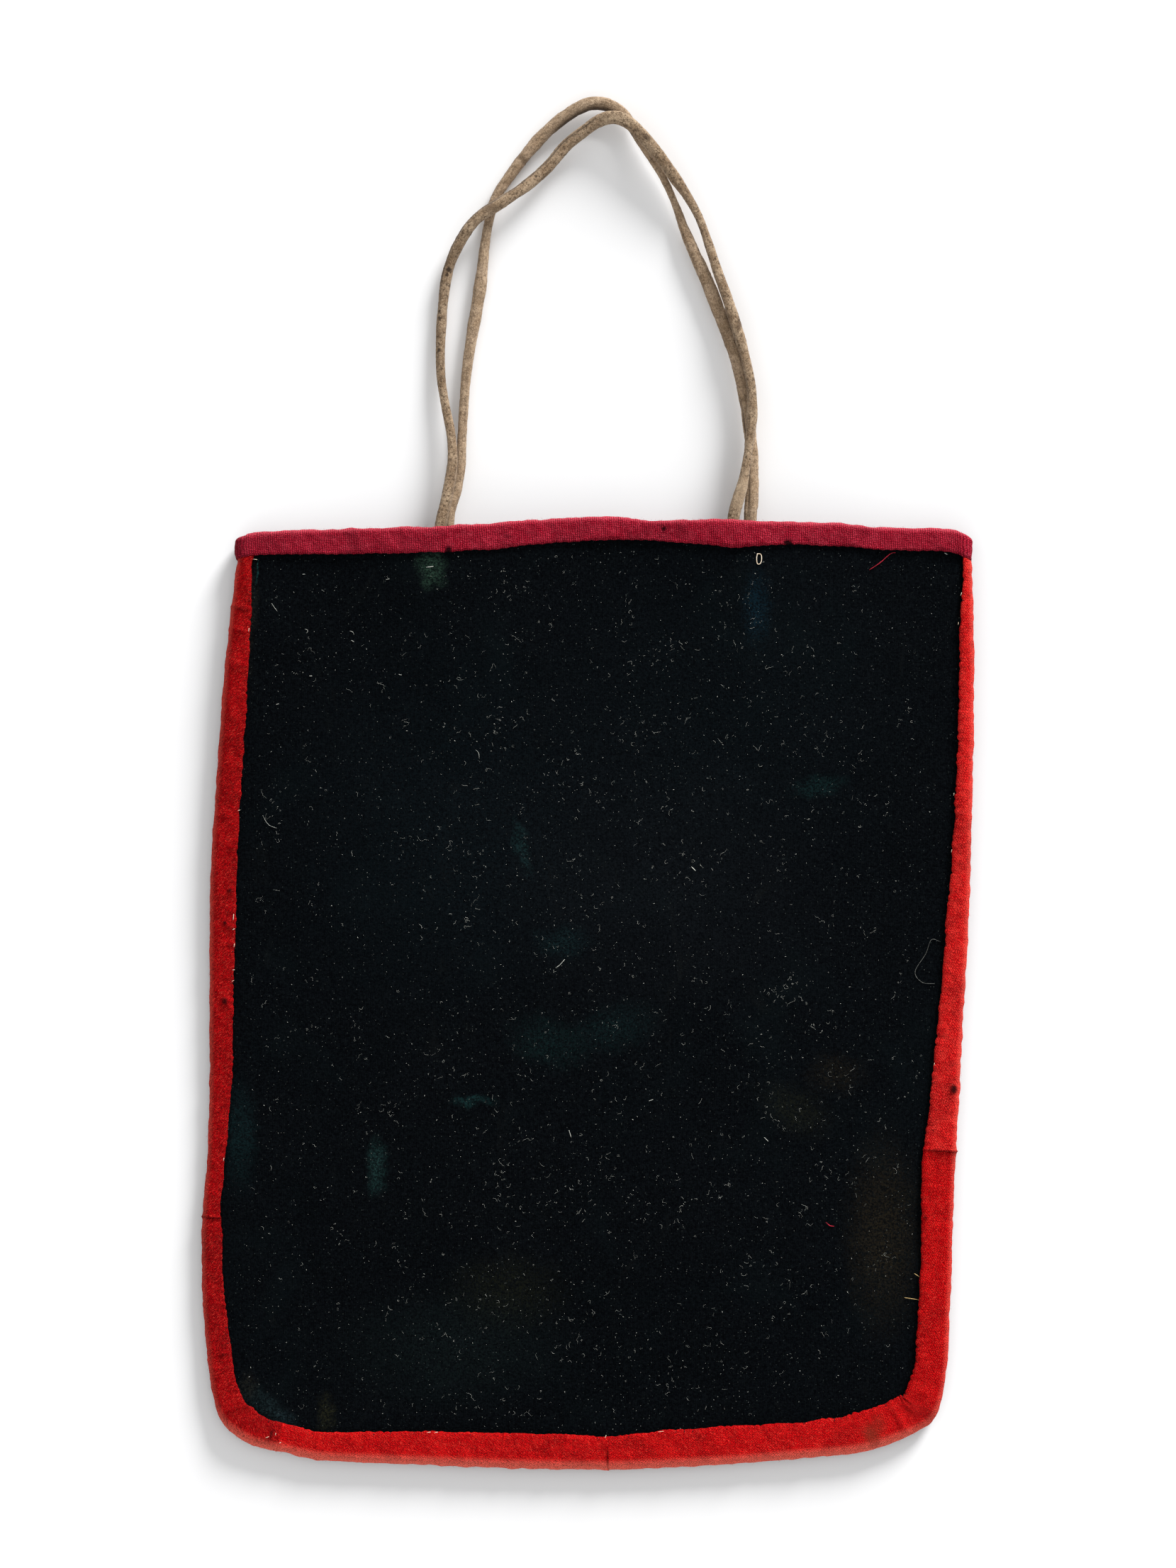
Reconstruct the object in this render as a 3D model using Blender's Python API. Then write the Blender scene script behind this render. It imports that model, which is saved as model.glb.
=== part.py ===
"""A flat beaded bag with two thong handles, lying on its beaded face with the velvet back up.

Metres, +Z up, +X to the right and +Y towards the handles. The origin is under the middle of the bag.
Two panels lie over each other. A red wool binding in five strips joins them round the sides and the
bottom, a crimson one is folded over the rim of the open mouth, and two hide thongs come out of it.
"""

import math

import bmesh
import bpy
from mathutils import Vector

# Sizes of the bag
BAG_WIDTH = 0.250
BAG_LENGTH = 0.308
PANEL = 0.0010            # thickness of the velvet and of the cloth under the beads
BEADS = 0.0011            # thickness of the bead layer
WOOL = 0.0011             # thickness of a binding's outer walls
MOUTH_INNER_WALL = 0.0010  # thickness of the mouth binding inside the bag
CLEAR = 0.0003            # gap between neighbours

# How the bag stands open
POCKET_DEPTH = 0.0062     # between the panels in the middle
MOUTH_GAPE = 0.0047       # between the lips in the middle of the mouth
MOUTH_CORNER = 0.0004     # inner radius of the mouth binding where it turns the corner
CROWN_RUN = 0.085         # length over which the pocket deepens from the bottom edge
STRAP_BULGE = 0.0027      # how far the thongs push the upper lip up
STRAP_BULGE_REACH = 0.024
MOUTH_FLAT = 0.022        # depth below the mouth that keeps the lip's own height
LEVEL_SHARE = 0.30        # share of the half width over which the pocket is level
SIDE_RISE = (-0.30, 0.90)  # shares of the half length between which the sides open
MOUTH_RISE = (0.45, 0.85)  # shares of the half length between which the pocket turns into the mouth

# Widths of the bindings' walls
FRONT_LEG = 0.0080        # the red binding's wall under the bag
MOUTH_LEG = 0.0082        # the mouth binding's outer wall
MOUTH_INNER_LEG = 0.0070
BEAD_MARGIN = 0.0006      # between the beads and the bindings

# Handles
STRAP_DIAMETER = 0.0035
STRAP_STEP = 2.3          # diameters between two points of a thong's tube

# Fineness of the solids
RIM_STEPS = 100
PANEL_POINTS = 112
PANEL_RINGS = 8
LIP_STEPS = 34
FLAT_LIP_STEPS = 14
CORNER_STEPS = 6

# Places that follow from the sizes
HALF_WIDTH = BAG_WIDTH / 2
HALF_LENGTH = BAG_LENGTH / 2
FRONT_BOTTOM = max(BEADS, WOOL) + CLEAR
FRONT_TOP = FRONT_BOTTOM + PANEL
LIP_STACK = MOUTH_INNER_WALL + CLEAR
GAP_AT_SIDE = CLEAR
GAP_AT_MOUTH_SIDE = 2 * (LIP_STACK + MOUTH_CORNER)
GAP_AT_MOUTH = 2 * LIP_STACK + MOUTH_GAPE
LIP_RADIUS = (GAP_AT_MOUTH_SIDE + PANEL) / 2
MOUTH_END_RADIUS = LIP_RADIUS + PANEL / 2 + CLEAR + WOOL
PANEL_INSET = MOUTH_END_RADIUS
MOUTH_PANEL_INSET = WOOL + 3 * CLEAR

# The outline down the left side, round the bottom and up the right side, as shares of the half sizes
RIM_SHARES = (
    # across, along
    (-0.907, 0.915), (-0.921, 0.820), (-0.939, 0.680), (-0.961, 0.450), (-0.976, 0.260), (-0.979, 0.050),
    (-0.979, -0.180), (-0.985, -0.330), (-0.998, -0.480), (-0.998, -0.620), (-0.987, -0.740), (-0.972, -0.835),
    (-0.952, -0.893), (-0.921, -0.922), (-0.871, -0.948), (-0.789, -0.964), (-0.679, -0.981), (-0.450, -0.989),
    (-0.200, -0.997), (0.040, -1.000), (0.220, -0.995), (0.400, -0.987), (0.570, -0.975), (0.690, -0.966),
    (0.790, -0.943), (0.865, -0.915), (0.898, -0.890), (0.917, -0.846), (0.930, -0.780), (0.940, -0.620),
    (0.948, -0.430), (0.962, -0.210), (0.975, -0.010), (0.987, 0.170), (0.995, 0.400), (1.000, 0.650),
    (0.998, 0.790), (0.993, 0.915),
)
# The mouth's top edge from left to right
MOUTH_SHARES = (
    # across, along
    (-0.912, 0.948), (-0.890, 0.962), (-0.825, 0.970), (-0.640, 0.976), (-0.420, 0.980), (-0.240, 0.987),
    (-0.130, 0.995), (0.057, 1.000), (0.167, 0.994), (0.310, 0.994), (0.500, 0.990), (0.660, 0.986),
    (0.770, 0.979), (0.920, 0.975), (0.966, 0.968), (0.995, 0.950),
)
# Width of the red binding's upper wall at places along the outline, as shares of the bag's half width
LEG_WIDTH_SHARES = (
    # across, along, width
    (-0.907, 0.915, 0.040), (-0.935, 0.700, 0.060), (-0.976, 0.260, 0.067), (-0.979, 0.000, 0.061),
    (-0.987, -0.300, 0.048), (-0.997, -0.450, 0.042), (-0.985, -0.740, 0.058), (-0.952, -0.893, 0.072),
    (-0.871, -0.948, 0.074), (-0.679, -0.981, 0.066), (-0.400, -0.990, 0.087), (0.050, -1.000, 0.086),
    (0.400, -0.987, 0.096), (0.690, -0.966, 0.102), (0.865, -0.915, 0.104), (0.930, -0.780, 0.080),
    (0.942, -0.550, 0.084), (0.948, -0.350, 0.086), (0.975, 0.000, 0.060), (0.988, 0.200, 0.055),
    (0.995, 0.400, 0.041), (1.000, 0.750, 0.037), (0.993, 0.915, 0.022),
)
# Places where one strip of red wool ends and the next begins
JOIN_SHARES = (
    # across, along
    (-0.998, -0.469), (-0.807, -0.961), (0.055, -1.000), (0.953, -0.332),
)
STRIP_NAMES = (
    "binding_left_upper", "binding_left_lower", "binding_bottom_left", "binding_bottom_right",
    "binding_right_upper",
)
# Shallow dents and folds of the velvet: middle and half sizes as shares, turn in degrees, depth in metres
DENTS = (
    # across, along, half_length, half_width, turn, depth
    (-0.450, 0.350, 0.55, 0.10, 68.0, 0.0006),
    (0.300, -0.200, 0.60, 0.12, -62.0, 0.0006),
    (-0.250, -0.500, 0.45, 0.10, 25.0, 0.0005),
    (0.500, 0.450, 0.40, 0.09, -40.0, 0.0005),
    (0.050, 0.150, 0.35, 0.12, 10.0, -0.0005),
)

# The thongs' routes from their ends inside the bag, over the surface, and back in
STRAP_BACK_ROUTE = (
    (-0.0487, 0.1382, 0.0085), (-0.0474, 0.1515, 0.0085), (-0.0453, 0.1611, 0.0077),
    (-0.0437, 0.1714, 0.0062), (-0.0441, 0.1806, 0.0047), (-0.0460, 0.1903, 0.0033),
    (-0.0475, 0.2002, 0.0024), (-0.0476, 0.2116, 0.0021), (-0.0467, 0.2245, 0.0021),
    (-0.0450, 0.2346, 0.0028), (-0.0414, 0.2429, 0.0044), (-0.0361, 0.2502, 0.0058),
    (-0.0283, 0.2555, 0.0060), (-0.0205, 0.2608, 0.0052), (-0.0131, 0.2672, 0.0043),
    (-0.0070, 0.2743, 0.0042), (-0.0012, 0.2789, 0.0048), (0.0034, 0.2820, 0.0056),
    (0.0080, 0.2833, 0.0064), (0.0126, 0.2819, 0.0068), (0.0174, 0.2776, 0.0067),
    (0.0227, 0.2714, 0.0060), (0.0277, 0.2645, 0.0050), (0.0323, 0.2578, 0.0043),
    (0.0362, 0.2507, 0.0039), (0.0392, 0.2422, 0.0039), (0.0422, 0.2332, 0.0043),
    (0.0456, 0.2236, 0.0047), (0.0486, 0.2139, 0.0052), (0.0512, 0.2047, 0.0057),
    (0.0528, 0.1963, 0.0062), (0.0531, 0.1875, 0.0069), (0.0523, 0.1790, 0.0075),
    (0.0514, 0.1721, 0.0079), (0.0500, 0.1646, 0.0081), (0.0482, 0.1584, 0.0082),
    (0.0470, 0.1531, 0.0082), (0.0452, 0.1382, 0.0082),
)
STRAP_FRONT_ROUTE = (
    (-0.0440, 0.1382, 0.0058), (-0.0445, 0.1515, 0.0057), (-0.0437, 0.1577, 0.0050),
    (-0.0421, 0.1634, 0.0042), (-0.0409, 0.1714, 0.0032), (-0.0407, 0.1795, 0.0023),
    (-0.0398, 0.1944, 0.0019), (-0.0389, 0.2036, 0.0019), (-0.0375, 0.2128, 0.0019),
    (-0.0357, 0.2231, 0.0019), (-0.0343, 0.2328, 0.0019), (-0.0334, 0.2415, 0.0019),
    (-0.0320, 0.2500, 0.0019), (-0.0297, 0.2578, 0.0019), (-0.0251, 0.2649, 0.0021),
    (-0.0194, 0.2723, 0.0024), (-0.0136, 0.2787, 0.0027), (-0.0074, 0.2838, 0.0030),
    (-0.0021, 0.2870, 0.0032), (0.0027, 0.2882, 0.0032), (0.0075, 0.2872, 0.0030),
    (0.0117, 0.2843, 0.0028), (0.0146, 0.2801, 0.0027), (0.0183, 0.2739, 0.0026),
    (0.0229, 0.2668, 0.0025), (0.0261, 0.2608, 0.0023), (0.0289, 0.2541, 0.0021),
    (0.0314, 0.2472, 0.0020), (0.0349, 0.2390, 0.0020), (0.0388, 0.2303, 0.0021),
    (0.0422, 0.2215, 0.0022), (0.0454, 0.2135, 0.0024), (0.0484, 0.2045, 0.0026),
    (0.0505, 0.1951, 0.0028), (0.0521, 0.1855, 0.0030), (0.0528, 0.1772, 0.0035),
    (0.0532, 0.1685, 0.0042), (0.0530, 0.1600, 0.0050), (0.0525, 0.1531, 0.0055),
    (0.0521, 0.1382, 0.0058),
)
# Where the thongs pass through the mouth
STRAP_MOUTH_PLACES = (-0.0460, 0.0500)

# Colours as red, green and blue of the screen, with roughness
FINISHES = {
    "velvet": ((0.04, 0.06, 0.07), 0.95),
    "ground_cloth": ((0.55, 0.45, 0.35), 0.90),
    "seed_beads": ((0.80, 0.82, 0.84), 0.25),
    "red_wool": ((0.78, 0.10, 0.08), 0.92),
    "crimson_wool": ((0.63, 0.09, 0.20), 0.92),
    "tan_hide": ((0.69, 0.59, 0.47), 0.85),
}


def smoothstep(value):
    """Rise from 0 to 1 with level ends."""
    t = min(max(value, 0.0), 1.0)
    return t * t * (3 - 2 * t)


def rise_along(y, shares):
    """Rise from 0 to 1 between two places along the bag, given as shares of its half length."""
    start, end = shares
    return smoothstep((y / HALF_LENGTH - start) / (end - start))


def along_curve(points, places):
    """Points of the smooth curve through points, at places given as shares of its length."""
    knots = [Vector(p) for p in points]
    ends = [2 * knots[0] - knots[1]] + knots + [2 * knots[-1] - knots[-2]]
    fine = 12
    dense = []
    for a, b, c, d in zip(ends, ends[1:], ends[2:], ends[3:]):
        for step in range(fine):
            t = step / fine
            dense.append(0.5 * (2 * b + (c - a) * t + (2 * a - 5 * b + 4 * c - d) * t * t
                                + (3 * b - a - 3 * c + d) * t ** 3))
    dense.append(knots[-1])
    reach = [0.0]
    for a, b in zip(dense, dense[1:]):
        reach.append(reach[-1] + (b - a).length)
    found = []
    at = 0
    for place in places:
        want = place * reach[-1]
        while at < len(dense) - 2 and reach[at + 1] < want:
            at += 1
        span = max(reach[at + 1] - reach[at], 1e-9)
        found.append(dense[at].lerp(dense[at + 1], (want - reach[at]) / span))
    return found, reach[-1]


def even(count):
    """count + 1 places from 0 to 1."""
    return [i / count for i in range(count + 1)]


def scaled(shares):
    """Places on the bag from shares of its half sizes."""
    return [Vector((row[0] * HALF_WIDTH, row[1] * HALF_LENGTH)) for row in shares]


RIM_FINE = 600
RIM, RIM_LENGTH = along_curve(scaled(RIM_SHARES), even(RIM_FINE))
MOUTH, _ = along_curve(scaled(MOUTH_SHARES), even(RIM_FINE))
LOWEST = min(range(len(RIM)), key=lambda i: RIM[i].y)


def table_value(pairs, key):
    """Value at key in a table of rising (key, value) pairs, on straight lines between them."""
    if key <= pairs[0][0]:
        return pairs[0][1]
    for (a, low), (b, high) in zip(pairs, pairs[1:]):
        if key <= b:
            return low + (high - low) * (key - a) / max(b - a, 1e-9)
    return pairs[-1][1]


LEFT_EDGE = [(p.y, p.x) for p in reversed(RIM[:LOWEST + 1])]
RIGHT_EDGE = [(p.y, p.x) for p in RIM[LOWEST:]]
TOP_EDGE = [(p.x, p.y) for p in MOUTH]
BOTTOM_EDGE = [(p.x, p.y) for p in RIM if p.y < -0.7 * HALF_LENGTH]


def mouth_top(x):
    """Height along Y of the mouth's top edge at x."""
    return table_value(TOP_EDGE, x)


def rim_place(row):
    """Share of the rim's length at the place nearest to a row's shares."""
    target = Vector((row[0] * HALF_WIDTH, row[1] * HALF_LENGTH))
    nearest = min(range(len(RIM)), key=lambda i: (RIM[i] - target).length)
    return nearest / RIM_FINE


LEG_WIDTHS = [(rim_place(row), row[2] * HALF_WIDTH) for row in LEG_WIDTH_SHARES]


def side_gap(y):
    """Gap between the panels at the bag's sides: closed at the bottom, open at the mouth."""
    return GAP_AT_SIDE + (GAP_AT_MOUTH_SIDE - GAP_AT_SIDE) * rise_along(y, SIDE_RISE)


def panel_gap(x, y):
    """Gap between the two panels at a place on the bag."""
    y = min(y, HALF_LENGTH - MOUTH_FLAT)
    left = table_value(LEFT_EDGE, y)
    right = table_value(RIGHT_EDGE, y)
    across = abs(2 * x - left - right) / max(right - left, 1e-6)
    middle = 1 - smoothstep((across - LEVEL_SHARE) / (1 - LEVEL_SHARE))
    near_mouth = rise_along(y, MOUTH_RISE)
    deepest = POCKET_DEPTH + (GAP_AT_MOUTH - POCKET_DEPTH) * near_mouth
    lift = smoothstep((y - table_value(BOTTOM_EDGE, x)) / CROWN_RUN)
    gap = side_gap(y) + (deepest - side_gap(y)) * middle * lift
    for place in STRAP_MOUTH_PLACES:
        gap += STRAP_BULGE * near_mouth * math.exp(-((x - place) / STRAP_BULGE_REACH) ** 2)
    for across_at, along_at, half_length, half_width, turn, depth in DENTS:
        dx = x - across_at * HALF_WIDTH
        dy = y - along_at * HALF_LENGTH
        angle = math.radians(turn)
        run = (dx * math.cos(angle) + dy * math.sin(angle)) / (half_length * HALF_WIDTH)
        side = (dy * math.cos(angle) - dx * math.sin(angle)) / (half_width * HALF_WIDTH)
        gap -= depth * math.exp(-run * run - side * side) * middle * lift * (1 - near_mouth)
    return gap


def back_top(x, y):
    """Height of the velvet's upper face."""
    return FRONT_TOP + panel_gap(x, y) + PANEL


def inward(path, i, step=3):
    """Direction into the bag, square to the path at point i."""
    ahead = path[min(i + step, len(path) - 1)] - path[max(i - step, 0)]
    return Vector((-ahead.y, ahead.x)).normalized()


def loft(name, rings, finish, closed=False):
    """Join rings of as many points each into one closed skin, and give it a finish."""
    mesh_data = bmesh.new()
    rows = [[mesh_data.verts.new(p) for p in ring] for ring in rings]
    pairs = list(zip(rows, rows[1:]))
    if closed:
        pairs.append((rows[-1], rows[0]))
    for near, far in pairs:
        for k in range(len(near)):
            nxt = (k + 1) % len(near)
            mesh_data.faces.new((near[k], near[nxt], far[nxt], far[k]))
    if not closed:
        mesh_data.faces.new(rows[0])
        mesh_data.faces.new(rows[-1])
    return finished(name, mesh_data, finish)


def finished(name, mesh_data, finish):
    """Turn a bmesh into a named object of the bag, with its faces pointing out."""
    bmesh.ops.recalc_face_normals(mesh_data, faces=mesh_data.faces[:])
    mesh = bpy.data.meshes.new(name)
    mesh_data.to_mesh(mesh)
    mesh_data.free()
    mesh.shade_smooth()
    mesh.set_sharp_from_angle(angle=math.radians(50))
    mesh.materials.append(material(finish))
    obj = bpy.data.objects.new(name, mesh)
    BAG.objects.link(obj)
    return obj


def material(finish):
    """The Principled material of a finish, made once."""
    if finish in bpy.data.materials:
        return bpy.data.materials[finish]
    colour, roughness = FINISHES[finish]
    made = bpy.data.materials.new(finish)
    made.use_nodes = True
    shader = made.node_tree.nodes["Principled BSDF"]
    linear = [((c + 0.055) / 1.055) ** 2.4 if c > 0.04 else c / 12.92 for c in colour]
    shader.inputs["Base Color"].default_value = (*linear, 1.0)
    shader.inputs["Roughness"].default_value = roughness
    shader.inputs["Metallic"].default_value = 0.0
    return made


def panel_outline(side_inset, mouth_inset, count):
    """Closed outline inside the bag's own, as count points from the mouth's left end."""
    rim = [RIM[i] + side_inset * inward(RIM, i) for i in range(0, len(RIM), 6)]
    top = [Vector((p.x, mouth_top(p.x) - mouth_inset)) for p in reversed(MOUTH)]
    inner = [p for p in top if rim[0].x < p.x < rim[-1].x][::6]
    rim = [p for p in rim if p.y < mouth_top(p.x) - mouth_inset]
    loop = rim + inner
    loop.append(loop[0].copy())
    reach = [0.0]
    for a, b in zip(loop, loop[1:]):
        reach.append(reach[-1] + (b - a).length)
    found = []
    at = 0
    for k in range(count):
        want = reach[-1] * k / count
        while reach[at + 1] < want:
            at += 1
        found.append(loop[at].lerp(loop[at + 1], (want - reach[at]) / (reach[at + 1] - reach[at])))
    return found


def make_back_panel():
    """The velvet: a crowned wall from its outline in to its middle."""
    outline = panel_outline(PANEL_INSET, MOUTH_PANEL_INSET, PANEL_POINTS)
    middle = Vector((0.0, -0.05 * HALF_LENGTH))
    mesh_data = bmesh.new()
    sides = []
    for drop in (0.0, PANEL):
        rows = []
        for ring in range(PANEL_RINGS):
            share = (1 - ring / PANEL_RINGS) ** 1.15
            row = []
            for p in outline:
                q = middle.lerp(p, share)
                row.append(mesh_data.verts.new((q.x, q.y, back_top(q.x, q.y) - drop)))
            rows.append(row)
        hub = mesh_data.verts.new((middle.x, middle.y, back_top(middle.x, middle.y) - drop))
        for near, far in zip(rows, rows[1:]):
            for k in range(len(near)):
                nxt = (k + 1) % len(near)
                mesh_data.faces.new((near[k], near[nxt], far[nxt], far[k]))
        for k in range(len(outline)):
            mesh_data.faces.new((rows[-1][k], rows[-1][(k + 1) % len(outline)], hub))
        sides.append(rows[0])
    for k in range(len(outline)):
        nxt = (k + 1) % len(outline)
        mesh_data.faces.new((sides[0][k], sides[0][nxt], sides[1][nxt], sides[1][k]))
    return finished("back_panel", mesh_data, "velvet")


def make_plate(name, outline, bottom, top, finish):
    """A flat piece: its outline extruded from bottom to top."""
    mesh_data = bmesh.new()
    face = mesh_data.faces.new([mesh_data.verts.new((p.x, p.y, bottom)) for p in outline])
    lifted = bmesh.ops.extrude_face_region(mesh_data, geom=[face])["geom"]
    corners = [item for item in lifted if isinstance(item, bmesh.types.BMVert)]
    bmesh.ops.translate(mesh_data, vec=(0, 0, top - bottom), verts=corners)
    return finished(name, mesh_data, finish)


def arc(middle, radius, start, end, steps):
    """Points of an arc in the (inset, height) plane, from start to end degrees."""
    points = []
    for i in range(steps + 1):
        angle = math.radians(start + (end - start) * i / steps)
        points.append((middle[0] + radius * math.cos(angle), middle[1] + radius * math.sin(angle)))
    return points


def binding_section(place, station):
    """The red binding's section at one place: a wall folded round both panels' edges."""
    i = min(int(round(place * RIM_FINE)), RIM_FINE)
    into = inward(RIM, i)
    at = station
    thick = FRONT_TOP + side_gap(min(at.y, HALF_LENGTH - MOUTH_FLAT)) + PANEL + CLEAR + WOOL
    radius = thick / 2
    leg = max(table_value(LEG_WIDTHS, place), radius + 2 * CLEAR)
    section = [(FRONT_LEG, 0.0)] + arc((radius, radius), radius, 270, 90, 6)
    upper = [radius + (leg - radius) * share for share in (0.5, 1.0)]
    for inset in upper:
        q = at + inset * into
        section.append((inset, back_top(q.x, q.y) + CLEAR + WOOL))
    for inset in reversed(upper):
        q = at + inset * into
        section.append((inset, back_top(q.x, q.y) + CLEAR))
    section += arc((radius, radius), radius - WOOL, 90, 270, 4)
    section.append((FRONT_LEG, WOOL))
    return [Vector((at.x + inset * into.x, at.y + inset * into.y, height)) for inset, height in section]


def make_bindings():
    """The five strips of red wool, end to end along the outline, from under the mouth binding."""
    half_gap = CLEAR / 2 / RIM_LENGTH
    free = [i for i, p in enumerate(RIM) if p.y < mouth_top(p.x) - MOUTH_LEG - CLEAR]
    top_left = free[0] / RIM_FINE
    top_right = free[-1] / RIM_FINE
    joins = [top_left] + [rim_place(row) for row in JOIN_SHARES] + [top_right]
    for name, start, end in zip(STRIP_NAMES, joins, joins[1:]):
        first = start + (half_gap if start > top_left else 0)
        last = end - (half_gap if end < top_right else 0)
        count = max(6, round((last - first) * RIM_STEPS))
        places = [first + (last - first) * i / count for i in range(count + 1)]
        stations, _ = along_curve(scaled(RIM_SHARES), places)
        loft(name, [binding_section(p, s) for p, s in zip(places, stations)], "red_wool")


def lip_path():
    """Stations round the mouth: place in X and Z, and the direction out of the bag's wall."""
    low = FRONT_BOTTOM + PANEL / 2
    high = low + 2 * LIP_RADIUS
    left = MOUTH[0].x + MOUTH_END_RADIUS
    right = MOUTH[-1].x - MOUTH_END_RADIUS
    y = HALF_LENGTH
    stations = []
    for i in range(LIP_STEPS + 1):
        x = left + (right - left) * i / LIP_STEPS
        reach = 0.001
        slope = (back_top(x + reach, y) - back_top(x - reach, y)) / (2 * reach)
        out = Vector((-slope, 1.0)).normalized()
        stations.append((Vector((x, back_top(x, y) - PANEL / 2)), out))
    stations[0] = (Vector((left, high)), Vector((0.0, 1.0)))
    stations[-1] = (Vector((right, high)), Vector((0.0, 1.0)))
    for i in range(1, CORNER_STEPS):
        angle = math.pi / 2 - math.pi * i / CORNER_STEPS
        out = Vector((math.cos(angle), math.sin(angle)))
        stations.append((Vector((right, low + LIP_RADIUS)) + LIP_RADIUS * out, out))
    for i in range(FLAT_LIP_STEPS + 1):
        x = right + (left - right) * i / FLAT_LIP_STEPS
        stations.append((Vector((x, low)), Vector((0.0, -1.0))))
    for i in range(1, CORNER_STEPS):
        angle = -math.pi / 2 - math.pi * i / CORNER_STEPS
        out = Vector((math.cos(angle), math.sin(angle)))
        stations.append((Vector((left, low + LIP_RADIUS)) + LIP_RADIUS * out, out))
    return stations


def make_mouth_binding():
    """The crimson ring: a wall folded over each lip, in one piece round the mouth."""
    outer = PANEL / 2 + CLEAR + WOOL
    inner = PANEL / 2 + CLEAR + MOUTH_INNER_WALL
    channel = PANEL / 2 + CLEAR
    fold = (outer + inner) / 2
    shift = (outer - inner) / 2
    section = [(outer, -MOUTH_LEG)] + arc((shift, -fold), fold, 0, 180, 5) + [(-inner, -MOUTH_INNER_LEG)]
    section += [(-channel, -MOUTH_INNER_LEG)] + arc((0.0, -fold), channel, 180, 0, 3) + [(channel, -MOUTH_LEG)]
    rings = []
    for at, out in lip_path():
        ring = []
        for offset, drop in section:
            x = at.x + offset * out.x
            ring.append(Vector((x, mouth_top(at.x) + drop, at.y + offset * out.y)))
        rings.append(ring)
    return loft("mouth_binding", rings, "crimson_wool", closed=True)


def make_bead_field():
    """The bead layer under the front panel, between the bindings' walls."""
    outline = panel_outline(FRONT_LEG + BEAD_MARGIN, MOUTH_LEG + BEAD_MARGIN, PANEL_POINTS)
    return make_plate("bead_field", outline, 0.0, BEADS, "seed_beads")


def make_strap(name, route):
    """A thong: a round tube along the smooth curve through its route."""
    _, length = along_curve(route, [1.0])
    count = round(length / (STRAP_STEP * STRAP_DIAMETER))
    points, _ = along_curve(route, even(count))
    curve = bpy.data.curves.new(name, "CURVE")
    curve.dimensions = "3D"
    curve.bevel_depth = STRAP_DIAMETER / 2
    curve.bevel_resolution = 2
    curve.use_fill_caps = True
    spline = curve.splines.new("POLY")
    spline.points.add(len(points) - 1)
    for spot, p in zip(spline.points, points):
        spot.co = (p.x, p.y, p.z, 1.0)
    curve.materials.append(material("tan_hide"))
    obj = bpy.data.objects.new(name, curve)
    BAG.objects.link(obj)
    return obj


for old in list(bpy.data.objects):
    bpy.data.objects.remove(old, do_unlink=True)
BAG = bpy.data.collections.new("beaded_flat_bag")
bpy.context.scene.collection.children.link(BAG)

make_back_panel()
make_plate("front_panel", panel_outline(PANEL_INSET, MOUTH_PANEL_INSET, PANEL_POINTS),
           FRONT_BOTTOM, FRONT_TOP, "ground_cloth")
make_bead_field()
make_bindings()
make_mouth_binding()
make_strap("strap_back", STRAP_BACK_ROUTE)
make_strap("strap_front", STRAP_FRONT_ROUTE)
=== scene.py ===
"""Looks of a flat bag with a velvet back, wool bindings and two hide thongs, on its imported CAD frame.

Metres, in the frame of the part: +Z up, +Y towards the thongs, the origin on the floor under the bag.
"""

import logging
import math
from dataclasses import dataclass, field
from enum import Enum
from typing import Sequence, Union

import bmesh
import bpy
import numpy as np
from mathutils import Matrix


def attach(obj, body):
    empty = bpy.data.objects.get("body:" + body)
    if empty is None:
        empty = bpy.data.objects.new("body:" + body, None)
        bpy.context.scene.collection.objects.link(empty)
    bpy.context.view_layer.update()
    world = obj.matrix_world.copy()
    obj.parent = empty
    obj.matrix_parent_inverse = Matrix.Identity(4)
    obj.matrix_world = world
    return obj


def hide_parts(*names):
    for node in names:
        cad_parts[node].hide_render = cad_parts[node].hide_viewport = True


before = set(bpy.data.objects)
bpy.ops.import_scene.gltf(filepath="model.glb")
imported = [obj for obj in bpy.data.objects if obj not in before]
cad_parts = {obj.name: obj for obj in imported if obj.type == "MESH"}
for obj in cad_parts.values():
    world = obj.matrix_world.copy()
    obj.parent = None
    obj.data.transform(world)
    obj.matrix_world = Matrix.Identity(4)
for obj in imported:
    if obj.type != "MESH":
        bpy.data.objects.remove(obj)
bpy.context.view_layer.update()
log = logging.getLogger("beaded_flat_bag")

Socket = bpy.types.NodeSocket
Feed = Union[float, Socket]
Colour = tuple[float, float, float]
Pixel = tuple[float, float]

PIXEL = 0.22967e-3                 # metres on the bag for one pixel of the photograph
MIDDLE_PIXEL = (829.25, 1401.5)    # where the frame's origin lies on the photograph
MERGE = 2e-6

# The outline down the left side, round the bottom and up the right side, as shares of the half sizes
RIM_SHARES = (
    (-0.907, 0.915), (-0.921, 0.820), (-0.939, 0.680), (-0.961, 0.450), (-0.976, 0.260), (-0.979, 0.050),
    (-0.979, -0.180), (-0.985, -0.330), (-0.998, -0.480), (-0.998, -0.620), (-0.987, -0.740), (-0.972, -0.835),
    (-0.952, -0.893), (-0.921, -0.922), (-0.871, -0.948), (-0.789, -0.964), (-0.679, -0.981), (-0.450, -0.989),
    (-0.200, -0.997), (0.040, -1.000), (0.220, -0.995), (0.400, -0.987), (0.570, -0.975), (0.690, -0.966),
    (0.790, -0.943), (0.865, -0.915), (0.898, -0.890), (0.917, -0.846), (0.930, -0.780), (0.940, -0.620),
    (0.948, -0.430), (0.962, -0.210), (0.975, -0.010), (0.987, 0.170), (0.995, 0.400), (1.000, 0.650),
    (0.998, 0.790), (0.993, 0.915),
)
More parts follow.
